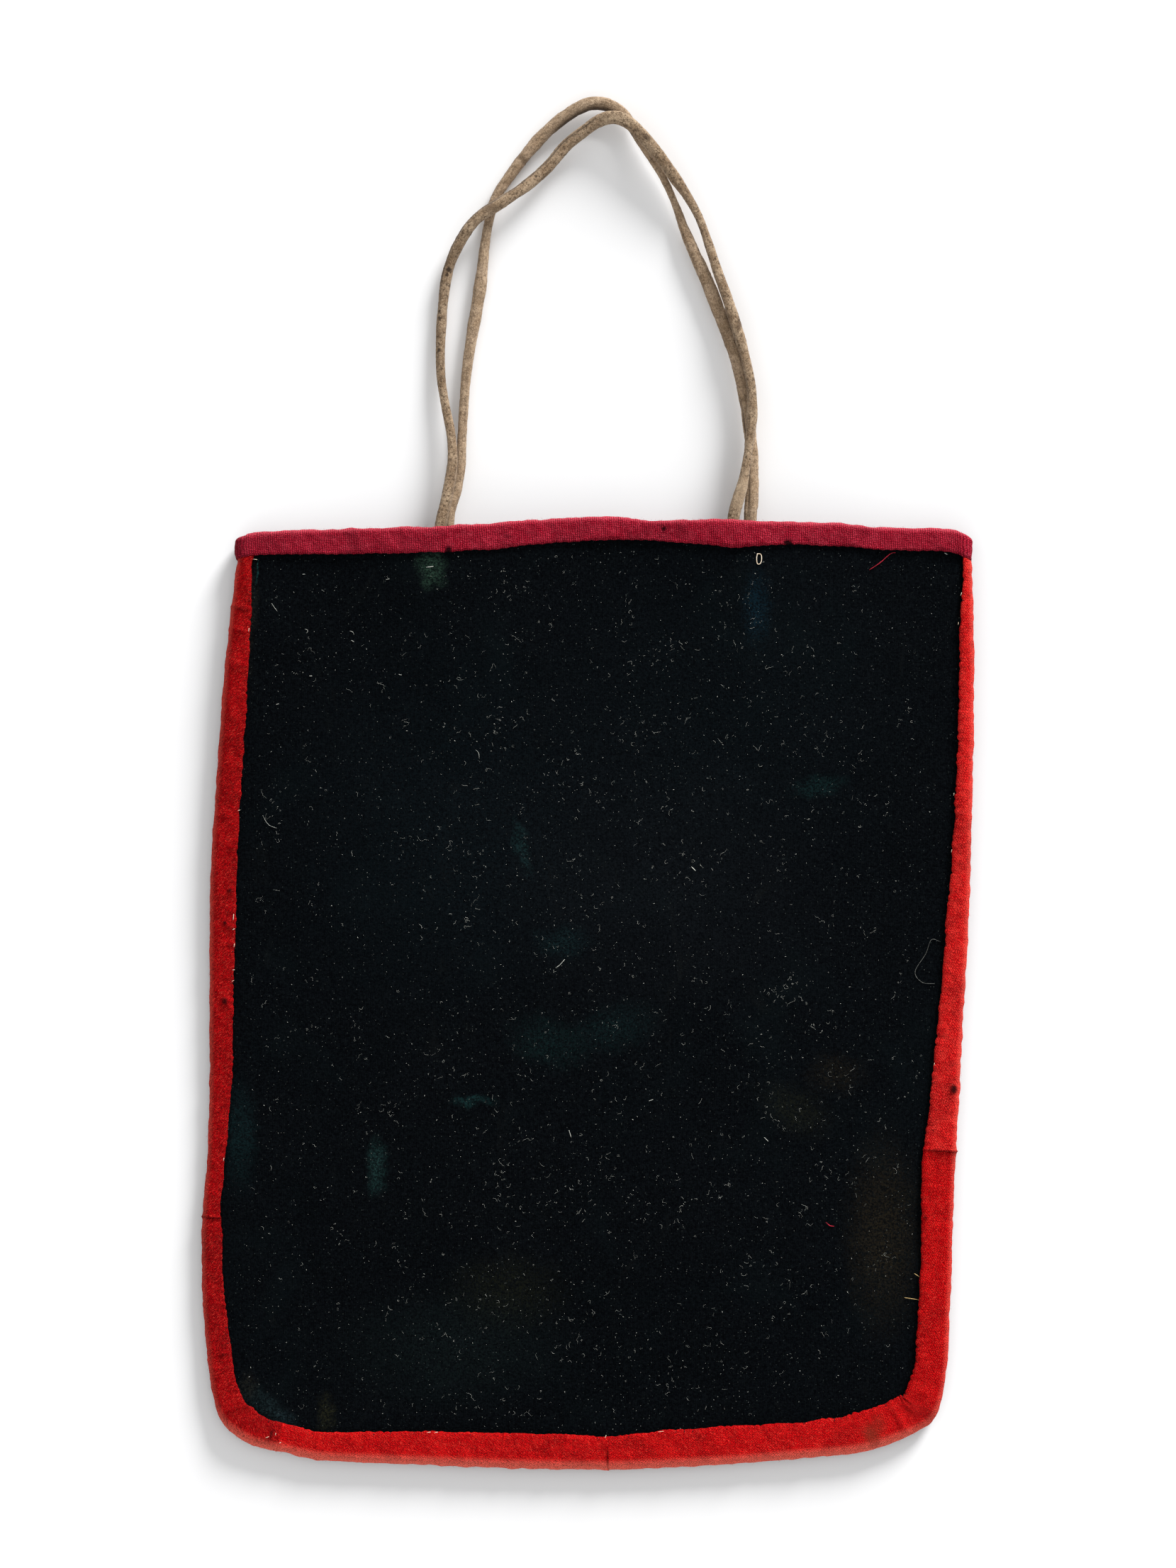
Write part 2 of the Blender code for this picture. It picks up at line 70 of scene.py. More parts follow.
MOUTH_SHARES = (
    (-0.912, 0.948), (-0.890, 0.962), (-0.825, 0.970), (-0.640, 0.976), (-0.420, 0.980), (-0.240, 0.987),
    (-0.130, 0.995), (0.057, 1.000), (0.167, 0.994), (0.310, 0.994), (0.500, 0.990), (0.660, 0.986),
    (0.770, 0.979), (0.920, 0.975), (0.966, 0.968), (0.995, 0.950),
)
# Soft dents and folds of the velvet: middle and half sizes as shares, turn in degrees, depth in metres
DENTS = (
    (-0.450, 0.350, 0.55, 0.10, 68.0, 0.0006), (0.300, -0.200, 0.60, 0.12, -62.0, 0.0006),
    (-0.250, -0.500, 0.45, 0.10, 25.0, 0.0005), (0.500, 0.450, 0.40, 0.09, -40.0, 0.0005),
    (0.050, 0.150, 0.35, 0.12, 10.0, -0.0005),
)
# Seen width of the red wool in pixels, at places of the photograph near the bag's edge
RED_WIDTHS = (
    (290, 795, 22), (290, 850, 28), (290, 900, 31), (290, 1000, 34), (290, 1100, 35), (290, 1200, 36),
    (290, 1300, 36), (290, 1400, 33), (290, 1500, 31), (290, 1600, 26), (290, 1700, 23), (290, 1716, 24),
    (290, 1740, 28), (290, 1800, 28), (290, 1860, 32), (290, 1900, 33), (295, 1940, 34), (300, 1960, 36),
    (310, 1990, 41), (330, 2022, 45), (358, 2040, 43), (400, 2052, 40), (440, 2060, 38), (500, 2065, 42),
    (600, 2070, 47), (700, 2070, 48.5), (800, 2070, 49), (859, 2070, 46), (940, 2070, 52), (1040, 2070, 53),
    (1140, 2060, 50), (1200, 2050, 54), (1259, 2034, 55), (1300, 2015, 56), (1318, 1998, 56), (1328, 1969, 50),
    (1335, 1924, 44), (1345, 1780, 43), (1347, 1700, 44), (1350, 1640, 46), (1352, 1560, 40),
    (1355, 1480, 37), (1358, 1400, 32.5), (1362, 1300, 31), (1366, 1200, 25), (1368, 1100, 22),
    (1370, 1000, 21), (1372, 900, 20), (1371, 840, 15), (1370, 800, 11),
)
# Seen depth of the crimson wool in pixels, from left to right
CRIMSON_DEPTHS = (
    (333, 28), (345, 31), (480, 36), (600, 37), (700, 37), (760, 35), (860, 32.5), (920, 29), (1000, 36),
    (1040, 39), (1100, 32), (1150, 32), (1250, 32), (1330, 31), (1372, 34),
)
# Joins of the red strips: a pixel near the bag's edge, and how deep the join shows
RED_JOINS = ((286, 1716, 1.0), (390, 2046, 0.25), (859, 2072, 0.55), (1348, 1624, 0.85))


def spot(px: float, py: float) -> np.ndarray:
    """Place on the bag, in metres, of a point measured on the photograph."""
    return np.array([(px - MIDDLE_PIXEL[0]) * PIXEL, (MIDDLE_PIXEL[1] - py) * PIXEL])


def smoothstep(value: np.ndarray) -> np.ndarray:
    """Rise from 0 to 1 with level ends."""
    t = np.clip(value, 0.0, 1.0)
    return t * t * (3 - 2 * t)


def reach_along(points: np.ndarray) -> np.ndarray:
    """Length along a row of points, from its first to each."""
    return np.concatenate([[0.0], np.cumsum(np.linalg.norm(np.diff(points, axis=0), axis=1))])


def evenly(points: np.ndarray, count: int) -> np.ndarray:
    """As many points spread evenly along a row of points."""
    reach = reach_along(points)
    want = np.linspace(0.0, reach[-1], count)
    return np.stack([np.interp(want, reach, points[:, k]) for k in range(points.shape[1])], axis=1)


def curve_through(knots: np.ndarray, count: int) -> np.ndarray:
    """Even points of the smooth curve through some knots.

    Args:
        knots: rows of coordinates that the curve passes through.
        count: how many points come back.

    Returns:
        The points, count rows of as many coordinates.
    """
    ends = np.vstack([2 * knots[:1] - knots[1:2], knots, 2 * knots[-1:] - knots[-2:-1]])
    t = np.linspace(0.0, 1.0, 12, endpoint=False)[:, None]
    dense = [0.5 * (2 * b + (c - a) * t + (2 * a - 5 * b + 4 * c - d) * t ** 2 + (3 * b - a - 3 * c + d) * t ** 3)
             for a, b, c, d in zip(ends, ends[1:], ends[2:], ends[3:])]
    return evenly(np.vstack(dense + [knots[-1:]]), count)


def ripple(places: np.ndarray, length: float, seed: int, waves: int = 9) -> np.ndarray:
    """Smooth seeded unevenness, about -1 to 1.

    Args:
        places: rows of coordinates.
        length: the usual distance between two humps.
        seed: which unevenness.
        waves: how many waves are summed.

    Returns:
        One value a row.
    """
    random = np.random.default_rng(seed)
    total = np.zeros(places.shape[:-1])
    for _ in range(waves):
        way = random.normal(size=places.shape[-1])
        way *= 2 * math.pi / (np.linalg.norm(way) * length * random.uniform(0.7, 1.5))
        total += np.sin(places @ way + random.uniform(0, 2 * math.pi))
    return total / math.sqrt(waves)


@dataclass
class BagForm:
    """The bag's own form, by the same sizes and formulas as its solids."""

    width: float = 0.250
    length: float = 0.308
    panel: float = 0.0010
    beads: float = 0.0011
    wool: float = 0.0011
    mouth_inner_wall: float = 0.0010
    clear: float = 0.0003
    pocket_depth: float = 0.0062
    mouth_gape: float = 0.0047
    mouth_corner: float = 0.0004
    crown_run: float = 0.085
    strap_bulge: float = 0.0027
    strap_bulge_reach: float = 0.024
    strap_places: tuple[float, float] = (-0.0460, 0.0500)
    mouth_flat: float = 0.022
    level_share: float = 0.30
    side_rise: tuple[float, float] = (-0.30, 0.90)
    mouth_rise: tuple[float, float] = (0.45, 0.85)
    front_leg: float = 0.0080
    mouth_leg: float = 0.0082
    mouth_inner_leg: float = 0.0070
    rim_points: int = 2001

    def __post_init__(self) -> None:
        """Lay out the rim, the mouth's edge and the tables read from them."""
        half = np.array([self.width, self.length]) / 2
        self.half_width, self.half_length = half
        self.rim = curve_through(np.array(RIM_SHARES) * half, self.rim_points)
        self.mouth = curve_through(np.array(MOUTH_SHARES) * half, 601)
        self.rim_length = float(reach_along(self.rim)[-1])
        step = 9
        ahead = np.array([self.rim[min(i + step, len(self.rim) - 1)] - self.rim[max(i - step, 0)]
                          for i in range(len(self.rim))])
        self.into = np.stack([-ahead[:, 1], ahead[:, 0]], axis=1) / np.linalg.norm(ahead, axis=1)[:, None]
        lowest = int(self.rim[:, 1].argmin())
        self.left_edge = self.rim[:lowest + 1][::-1]
        self.right_edge = self.rim[lowest:]
        self.bottom_edge = self.rim[self.rim[:, 1] < -0.7 * self.half_length]
        self.front_bottom = max(self.beads, self.wool) + self.clear
        self.front_top = self.front_bottom + self.panel
        stack = self.mouth_inner_wall + self.clear
        self.gap_at_mouth_side = 2 * (stack + self.mouth_corner)
        self.gap_at_mouth = 2 * stack + self.mouth_gape
        self.lip_radius = (self.gap_at_mouth_side + self.panel) / 2
        self.mouth_end = self.lip_radius + self.panel / 2 + self.clear + self.wool
        places = [self.rim_place(*spot(px, py)) for px, py, _ in RED_WIDTHS]
        self.red_widths = (np.array(places), np.array([row[2] for row in RED_WIDTHS]) * PIXEL)
        depths = np.array(CRIMSON_DEPTHS, dtype=float) - (MIDDLE_PIXEL[0], 0.0)
        self.crimson_depths = depths.T * PIXEL

    def rim_place(self, x: float, y: float) -> float:
        """Length along the rim, in metres, at its point nearest to a place."""
        nearest = int(np.linalg.norm(self.rim - (x, y), axis=1).argmin())
        return nearest * self.rim_length / (self.rim_points - 1)

    def rim_at(self, run: np.ndarray) -> tuple[np.ndarray, np.ndarray]:
        """Points of the rim and the directions into the bag.

        Args:
            run: lengths along the rim in metres.

        Returns:
            Rows of x and y, and rows of unit directions.
        """
        reach = np.linspace(0.0, self.rim_length, self.rim_points)
        at = np.stack([np.interp(run, reach, self.rim[:, k]) for k in (0, 1)], axis=1)
        into = np.stack([np.interp(run, reach, self.into[:, k]) for k in (0, 1)], axis=1)
        into = into / np.linalg.norm(into, axis=1)[:, None]
        beyond = run - np.clip(run, 0.0, self.rim_length)
        return at + beyond[:, None] * np.stack([into[:, 1], -into[:, 0]], axis=1), into

    def red_width(self, run: np.ndarray) -> np.ndarray:
        """Seen width of the red wool at lengths along the rim."""
        return np.interp(run, *self.red_widths)

    def mouth_top(self, x: np.ndarray) -> np.ndarray:
        """Height along Y of the mouth's edge."""
        return np.interp(x, self.mouth[:, 0], self.mouth[:, 1])

    def crimson_edge(self, x: np.ndarray) -> np.ndarray:
        """Height along Y of the crimson wool's lower edge."""
        return self.mouth_top(x) - np.interp(x, *self.crimson_depths)

    def rise_along(self, y: np.ndarray, shares: tuple[float, float]) -> np.ndarray:
        """Rise from 0 to 1 between two shares of the half length."""
        return smoothstep((y / self.half_length - shares[0]) / (shares[1] - shares[0]))

    def side_gap(self, y: np.ndarray) -> np.ndarray:
        """Gap between the panels at the bag's sides."""
        return self.clear + (self.gap_at_mouth_side - self.clear) * self.rise_along(y, self.side_rise)

    def thick(self, y: np.ndarray) -> np.ndarray:
        """Whole thickness of the rim with its wool."""
        y = np.minimum(y, self.half_length - self.mouth_flat)
        return self.front_top + self.side_gap(y) + self.panel + self.clear + self.wool

    def top(self, x: np.ndarray, y: np.ndarray) -> np.ndarray:
        """Height of the velvet's upper face, where no binding presses it.

        Args:
            x: places across the bag.
            y: places along the bag.

        Returns:
            Heights over the floor.
        """
        y = np.minimum(y, self.half_length - self.mouth_flat)
        left = np.interp(y, self.left_edge[:, 1], self.left_edge[:, 0])
        right = np.interp(y, self.right_edge[:, 1], self.right_edge[:, 0])
        across = np.abs(2 * x - left - right) / np.maximum(right - left, 1e-6)
        middle = 1 - smoothstep((across - self.level_share) / (1 - self.level_share))
        near_mouth = self.rise_along(y, self.mouth_rise)
        deepest = self.pocket_depth + (self.gap_at_mouth - self.pocket_depth) * near_mouth
        bottom = np.interp(x, self.bottom_edge[:, 0], self.bottom_edge[:, 1])
        lift = smoothstep((y - bottom) / self.crown_run)
        gap = self.side_gap(y) + (deepest - self.side_gap(y)) * middle * lift
        for place in self.strap_places:
            gap = gap + self.strap_bulge * near_mouth * np.exp(-((x - place) / self.strap_bulge_reach) ** 2)
        for across_at, along_at, half_long, half_wide, turn, depth in DENTS:
            dx = x - across_at * self.half_width
            dy = y - along_at * self.half_length
            cos, sin = math.cos(math.radians(turn)), math.sin(math.radians(turn))
            run = (dx * cos + dy * sin) / (half_long * self.half_width)
            side = (dy * cos - dx * sin) / (half_wide * self.half_width)
            gap = gap - depth * np.exp(-run * run - side * side) * middle * lift * (1 - near_mouth)
        return self.front_top + gap + self.panel

    def inset(self, x: np.ndarray, y: np.ndarray) -> tuple[np.ndarray, np.ndarray]:
        """How far inside the rim places lie, and where along the rim that is.

        Args:
            x: places across the bag.
            y: places along the bag.

        Returns:
            Distances to the rim and lengths along it.
        """
        rim = self.rim[::4]
        found = np.empty(len(x))
        run = np.empty(len(x))
        for start in range(0, len(x), 4000):
            some = slice(start, start + 4000)
            gap = np.hypot(x[some, None] - rim[None, :, 0], y[some, None] - rim[None, :, 1])
            nearest = gap.argmin(axis=1)
            found[some] = gap[np.arange(len(nearest)), nearest]
            run[some] = nearest * 4 * self.rim_length / (self.rim_points - 1)
        return found, run

    def velvet(self, x: np.ndarray, y: np.ndarray) -> np.ndarray:
        """Height of the velvet's upper face, rolled down at the rim and drawn in by the stitches.

        Args:
            x: places across the bag.
            y: places along the bag.

        Returns:
            Heights over the floor.
        """
        inset, run = self.inset(x, y)
        radius = self.thick(y) / 2
        roll = radius - self.wool - self.clear
        drop = roll - np.sqrt(np.maximum(roll ** 2 - np.maximum(radius - inset, 0.0) ** 2, 0.0))
        seam = np.abs(inset - self.red_width(run))
        places = np.stack([x, y], axis=1)
        waves = 0.00016 * ripple(places, 0.030, 3) + 0.00009 * ripple(places, 0.011, 4)
        puckers = 0.00030 * np.exp(-seam / 0.0016) + 0.00012 * np.exp(-seam / 0.005) * (
            1 + np.cos(2 * math.pi * run / 0.0052))
        calm = smoothstep((inset - 0.004) / 0.010)
        return self.top(x, y) - drop + waves * calm - puckers

    def over(self, x: float, y: float, lift: float = 0.0) -> tuple[float, float, float]:
        """A place on the velvet, lifted by a little."""
        return (x, y, float(self.velvet(np.array([x]), np.array([y]))[0]) + lift)


class Wrap(Enum):
    """Which edges of a grid meet."""

    TUBE = "tube"
    RING = "ring"


def finish_mesh(mesh: bpy.types.Mesh, shell: bmesh.types.BMesh) -> None:
    """Turn a shell's faces outwards, write it to its mesh and shade it smooth."""
    bmesh.ops.recalc_face_normals(shell, faces=shell.faces[:])
    shell.to_mesh(mesh)
    shell.free()
    mesh.shade_smooth()


def shaped_grid(name: str, places: np.ndarray, cloth: np.ndarray, wrap: Wrap,
                masks: dict[str, np.ndarray] | None = None) -> bpy.types.Object:
    """A grid bent into a tube or a ring, with the cloth's own coordinates as its UV map.

    Args:
        name: the piece's name.
        places: rows by columns of points.
        cloth: rows by columns of lengths along and across the cloth, in metres.
        wrap: which edges meet.
        masks: shares from 0 to 1 that its material reads, by name.

    Returns:
        The new object, not yet linked.
    """
    rows, cols = places.shape[:2]
    shell = bmesh.new()
    bmesh.ops.create_grid(shell, x_segments=rows - 1, y_segments=cols - 1, size=1.0)
    mesh = bpy.data.meshes.new(name)
    shell.to_mesh(mesh)
    shell.clear()
    flat = np.empty(len(mesh.vertices) * 3)
    mesh.vertices.foreach_get("co", flat)
    flat = flat.reshape(-1, 3)
    row = np.rint((flat[:, 0] + 1) / 2 * (rows - 1)).astype(int)
    col = np.rint((flat[:, 1] + 1) / 2 * (cols - 1)).astype(int)
    mesh.vertices.foreach_set("co", places[row, col].ravel())
    corner = np.empty(len(mesh.loops), dtype=np.int32)
    mesh.loops.foreach_get("vertex_index", corner)
    mesh.uv_layers.new(name="cloth").data.foreach_set("uv", cloth[row, col][corner].ravel())
    for key, values in (masks or {}).items():
        mesh.attributes.new(key, "FLOAT", "POINT").data.foreach_set("value", values[row, col].astype(np.float32))
    shell.from_mesh(mesh)
    bmesh.ops.remove_doubles(shell, verts=shell.verts[:], dist=MERGE)
    if wrap is Wrap.TUBE:
        bmesh.ops.holes_fill(shell, edges=[e for e in shell.edges if e.is_boundary], sides=0)
    finish_mesh(mesh, shell)
    return bpy.data.objects.new(name, mesh)


def show(piece: bpy.types.Object, finish: bpy.types.Material, slot: str, *nodes: str) -> bpy.types.Object:
    """Link a piece, dress it, let it ride on the bag and stand for CAD nodes.

    Args:
        piece: the new object.
        finish: its material.
        slot: the record's material slot; not used.
        nodes: the CAD nodes that it stands for.

    Returns:
        The piece.
    """
    if piece.name not in bpy.context.scene.collection.objects:
        bpy.context.scene.collection.objects.link(piece)
    piece.data.materials.clear()
    piece.data.materials.append(finish)
    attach(piece, "root")
    if nodes:
        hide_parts(*nodes)
    log.info("%s: %d faces", piece.name, len(piece.data.polygons) if piece.type == "MESH" else 0)
    return piece


class Graph:
    """A node tree with short calls that add nodes and join them."""

    def __init__(self, tree: bpy.types.NodeTree) -> None:
        """Take the tree that the calls work on."""
        self.tree = tree

    def node(self, kind: str, **settings: object) -> bpy.types.Node:
        """Add a node and set its options."""
        made = self.tree.nodes.new(kind)
        for key, value in settings.items():
            setattr(made, key, value)
        return made

    def feed(self, socket: Socket, value: object) -> None:
        """Join a socket to another one, or set its own value."""
        if isinstance(value, bpy.types.NodeSocket):
            self.tree.links.new(value, socket)
        elif isinstance(value, tuple) and len(value) == 3 and socket.type == "RGBA":
            socket.default_value = (*value, 1.0)
        else:
            socket.default_value = value

    def math(self, operation: str, first: Feed, second: Feed = 0.0, third: Feed = 0.0,
             clamp: bool = False) -> Socket:
        """A sum, product or other reckoning of numbers."""
        made = self.node("ShaderNodeMath", operation=operation, use_clamp=clamp)
        for socket, value in zip(made.inputs, (first, second, third)):
            self.feed(socket, value)
        return made.outputs[0]

    def vector(self, operation: str, first: object, second: object = (0.0, 0.0, 0.0)) -> Socket:
        """A reckoning of vectors that gives a vector, or a length."""
        made = self.node("ShaderNodeVectorMath", operation=operation)
        self.feed(made.inputs[0], first)
        self.feed(made.inputs[1], second)
        return made.outputs["Value" if operation in ("LENGTH", "DOT_PRODUCT", "DISTANCE") else "Vector"]

    def mix(self, share: Feed, first: object, second: object, blend: str = "MIX") -> Socket:
        """A mix of two colours."""
        made = self.node("ShaderNodeMix", data_type="RGBA", blend_type=blend)
        self.feed(made.inputs["Factor"], share)
        self.feed(made.inputs[6], first)
        self.feed(made.inputs[7], second)
        return made.outputs[2]

    def noise(self, place: Socket, scale: float, detail: float = 2.0, roughness: float = 0.5,
              distortion: float = 0.0) -> Socket:
        """Cloudy unevenness from 0 to 1, at a scale in lumps a metre."""
        made = self.node("ShaderNodeTexNoise")
        self.feed(made.inputs["Vector"], place)
        for key, value in (("Scale", scale), ("Detail", detail), ("Roughness", roughness),
                           ("Distortion", distortion)):
            made.inputs[key].default_value = value
        return made.outputs["Fac"]

    def between(self, value: Feed, low: Feed, high: Feed, start: float = 0.0, end: float = 1.0) -> Socket:
        """A smooth rise from start to end as a value goes from low to high."""
        made = self.node("ShaderNodeMapRange", interpolation_type="SMOOTHSTEP")
        for key, given in (("Value", value), ("From Min", low), ("From Max", high), ("To Min", start),
                           ("To Max", end)):
            self.feed(made.inputs[key], given)
        return made.outputs["Result"]

    def place(self, kind: str = "Object") -> Socket:
        """The piece's own coordinates."""
        return self.node("ShaderNodeTexCoord").outputs[kind]

    def turned(self, place: Socket, angle: Feed) -> Socket:
        """Coordinates turned about Z by an angle in radians."""
        made = self.node("ShaderNodeVectorRotate", rotation_type="Z_AXIS")
        self.feed(made.inputs["Vector"], place)
        self.feed(made.inputs["Angle"], angle)
        return made.outputs[0]

    def mask(self, name: str) -> Socket:
        """A share that was written on the piece's points."""
        return self.node("ShaderNodeAttribute", attribute_name=name).outputs["Fac"]

    def use(self, group: bpy.types.NodeTree, **feeds: object) -> bpy.types.Node:
        """Place a node group and feed its inputs, whose names have _ for each blank."""
        made = self.node("ShaderNodeGroup", node_tree=group)
        for key, value in feeds.items():
            self.feed(made.inputs[key.replace("_", " ")], value)
        return made

    def bump(self, height: Feed, distance: float, strength: float = 1.0, onto: Socket | None = None) -> Socket:
        """A normal that a height in shares of a distance tips."""
        made = self.node("ShaderNodeBump")
        made.inputs["Strength"].default_value = strength
        made.inputs["Distance"].default_value = distance
        self.feed(made.inputs["Height"], height)
        if onto is not None:
            self.feed(made.inputs["Normal"], onto)
        return made.outputs["Normal"]


def new_group(name: str, inputs: dict[str, object], outputs: Sequence[str]) -> tuple[Graph, bpy.types.Node,
                                                                                   bpy.types.Node]:
    """Start a node group with named sockets.

    Args:
        name: the group's name.
        inputs: values by name, a tuple for a vector and a number for a number.
        outputs: names of the numbers that it puts out.

    Returns:
        Its graph, its input node and its output node.
    """
    tree = bpy.data.node_groups.new(name, "ShaderNodeTree")
    for key, value in inputs.items():
        kind = "NodeSocketVector" if isinstance(value, tuple) else "NodeSocketFloat"
        tree.interface.new_socket(name=key, in_out="INPUT", socket_type=kind).default_value = value
    for key in outputs:
        tree.interface.new_socket(name=key, in_out="OUTPUT", socket_type="NodeSocketFloat")
    graph = Graph(tree)
    return graph, graph.node("NodeGroupInput"), graph.node("NodeGroupOutput")


class Effects:
    """The node groups that several materials share, each built once."""

    def __init__(self) -> None:
        """Build the groups."""
        self.weave = self._weave()
        self.mark = self._mark()
        self.specks = self._specks()

    def _weave(self) -> bpy.types.NodeTree:
        """Yarns over and under each other, from plain weave to twill, blurred by felting; Gap marks the dark between
        the yarns that the materials paint as shade.
        """
        graph, into, out = new_group(
            "yarn_weave", {"Cloth": (0.0, 0.0, 0.0), "Pitch": 0.00085, "Twill": 0.0, "Felting": 0.3, "Slant": 0.0},
            ("Height", "Gap", "Grain"))
        cloth, pitch = into.outputs["Cloth"], into.outputs["Pitch"]
        wander = graph.node("ShaderNodeTexNoise", noise_dimensions="3D")
        graph.feed(wander.inputs["Vector"], cloth)
        wander.inputs["Scale"].default_value = 520.0
        wander.inputs["Detail"].default_value = 2.0
        reach = graph.math("MULTIPLY_ADD", into.outputs["Felting"], 0.0030, 0.0004)
        shift = graph.node("ShaderNodeVectorMath", operation="SCALE")
        graph.feed(shift.inputs[0], graph.vector("SUBTRACT", wander.outputs["Color"], (0.5, 0.5, 0.5)))
        graph.feed(shift.inputs["Scale"], reach)
        parts = graph.node("ShaderNodeSeparateXYZ")
        graph.feed(parts.inputs[0], graph.vector("ADD", cloth, shift.outputs[0]))
        along, across = parts.outputs["X"], parts.outputs["Y"]
        leant = graph.math("MULTIPLY_ADD", across, into.outputs["Slant"], along)
        u = graph.math("MULTIPLY", graph.math("DIVIDE", leant, pitch), math.pi)
        v = graph.math("MULTIPLY", graph.math("DIVIDE", across, pitch), 1.3 * math.pi)
        a, b = graph.math("SINE", u), graph.math("SINE", v)
        over = graph.math("GREATER_THAN", graph.math("MULTIPLY", a, b), 0.0)
        a, b = graph.math("ABSOLUTE", a), graph.math("ABSOLUTE", b)
        one = graph.math("MULTIPLY", graph.math("POWER", a, 0.7), graph.math("POWER", b, 1.3))
        two = graph.math("MULTIPLY", graph.math("POWER", a, 1.3), graph.math("POWER", b, 0.7))
        plain = graph.math("ADD", graph.math("MULTIPLY", one, over),
                           graph.math("MULTIPLY", two, graph.math("SUBTRACT", 1.0, over)))
        rows = graph.math("DIVIDE", graph.math("SUBTRACT", across, graph.math("MULTIPLY", along, 0.75)),
                          graph.math("MULTIPLY", pitch, 0.95))
        shifted = graph.math("MULTIPLY", graph.math("FLOOR", rows), 0.5)
        lengths = graph.math("ADD", graph.math("DIVIDE", graph.math("MULTIPLY_ADD", across, 0.75, along),
                                               graph.math("MULTIPLY", pitch, 1.75)), shifted)
        side, middle = (graph.math("ABSOLUTE", graph.math("SINE", graph.math("MULTIPLY", value, math.pi)))
                        for value in (rows, lengths))
        twill = graph.math("MULTIPLY", graph.math("POWER", side, 0.8), graph.math("POWER", middle, 0.5))
        yarn = graph.math("ADD", graph.math("MULTIPLY", plain, graph.math("SUBTRACT", 1.0, into.outputs["Twill"])),
                          graph.math("MULTIPLY", twill, into.outputs["Twill"]))
        leaning = graph.vector("MULTIPLY", graph.turned(cloth, 0.7), (0.5, 1.15, 1.0))
        grain = graph.between(graph.noise(leaning, 2100.0, 3.0, 0.6, 0.5), 0.25, 0.75)
        felt = graph.math("MULTIPLY", into.outputs["Felting"], graph.between(graph.noise(cloth, 260.0), 0.2, 0.8, 0.6, 1.3))
        height = graph.math("ADD", graph.math("MULTIPLY", yarn, graph.math("SUBTRACT", 1.0, felt)),
                            graph.math("MULTIPLY", grain, felt))
        graph.feed(out.inputs["Height"], height)
        graph.feed(out.inputs["Gap"], graph.between(height, 0.60, 0.12))
        graph.feed(out.inputs["Grain"], grain)
        return graph.tree

    def _mark(self) -> bpy.types.NodeTree:
        """A soft or ragged round mark at a place: a hole, a stain or a rubbed patch."""
        graph, into, out = new_group(
            "mark", {"Place": (0.0, 0.0, 0.0), "Centre": (0.0, 0.0, 0.0), "Size": (0.001, 0.001, 1.0), "Turn": 0.0,
                     "Softness": 0.3, "Depth": 1.0}, ("Share",))
        moved = graph.vector("MULTIPLY", graph.vector("SUBTRACT", into.outputs["Place"], into.outputs["Centre"]),
                             (1.0, 1.0, 0.0))
        turned = graph.turned(moved, into.outputs["Turn"])
        away = graph.vector("LENGTH", graph.vector("DIVIDE", turned, into.outputs["Size"]))
        low = graph.math("SUBTRACT", 1.0, into.outputs["Softness"])
        high = graph.math("ADD", 1.0, into.outputs["Softness"])
        share = graph.math("SUBTRACT", 1.0, graph.between(away, low, high))
        graph.feed(out.inputs["Share"], graph.math("MULTIPLY", share, into.outputs["Depth"]))
        return graph.tree

    def _specks(self) -> bpy.types.NodeTree:
        """Fine specks of lint or dust, some cells holding one and most none."""
        graph, into, out = new_group(
            "specks", {"Place": (0.0, 0.0, 0.0), "Scale": 900.0, "Size": 0.2, "Few": 0.93}, ("Share",))
        cells = graph.node("ShaderNodeTexVoronoi", feature="F1")
        graph.feed(cells.inputs["Vector"], into.outputs["Place"])
        graph.feed(cells.inputs["Scale"], into.outputs["Scale"])
        parts = graph.node("ShaderNodeSeparateXYZ")
        graph.feed(parts.inputs[0], cells.outputs["Color"])
        chosen = graph.math("GREATER_THAN", parts.outputs["X"], into.outputs["Few"])
        size = graph.math("MULTIPLY", into.outputs["Size"], graph.math("MULTIPLY_ADD", parts.outputs["Y"], 0.8, 0.5))
        near = graph.math("LESS_THAN", cells.outputs["Distance"], size)
        graph.feed(out.inputs["Share"], graph.math("MULTIPLY", graph.math("MULTIPLY", chosen, near),
                                                   graph.math("MULTIPLY_ADD", parts.outputs["Z"], 0.7, 0.3)))
        return graph.tree


@dataclass(frozen=True)
class Mark:
    """A mark measured on the photograph: its middle and half sizes in pixels, and how it looks."""

    middle: Pixel
    size: Pixel
    colour: Colour
    depth: float = 1.0
    softness: float = 0.35
    turn: float = 0.0


def screen(red: float, green: float, blue: float) -> Colour:
    """Light of a colour that was read on the screen, 0 to 255."""
    return tuple((c / 255 / 12.92) if c <= 10.3 else ((c / 255 + 0.055) / 1.055) ** 2.4 for c in (red, green, blue))


def new_material(name: str, roughness: float, specular: float) -> tuple[bpy.types.Material, Graph,
                                                                        bpy.types.Node]:
    """Start a material, and return it with its graph and its Principled shader."""
    made = bpy.data.materials.new(name)
    made.use_nodes = True
    shader = made.node_tree.nodes["Principled BSDF"]
    shader.inputs["Roughness"].default_value = roughness
    shader.inputs["Specular IOR Level"].default_value = specular
    return made, Graph(made.node_tree), shader


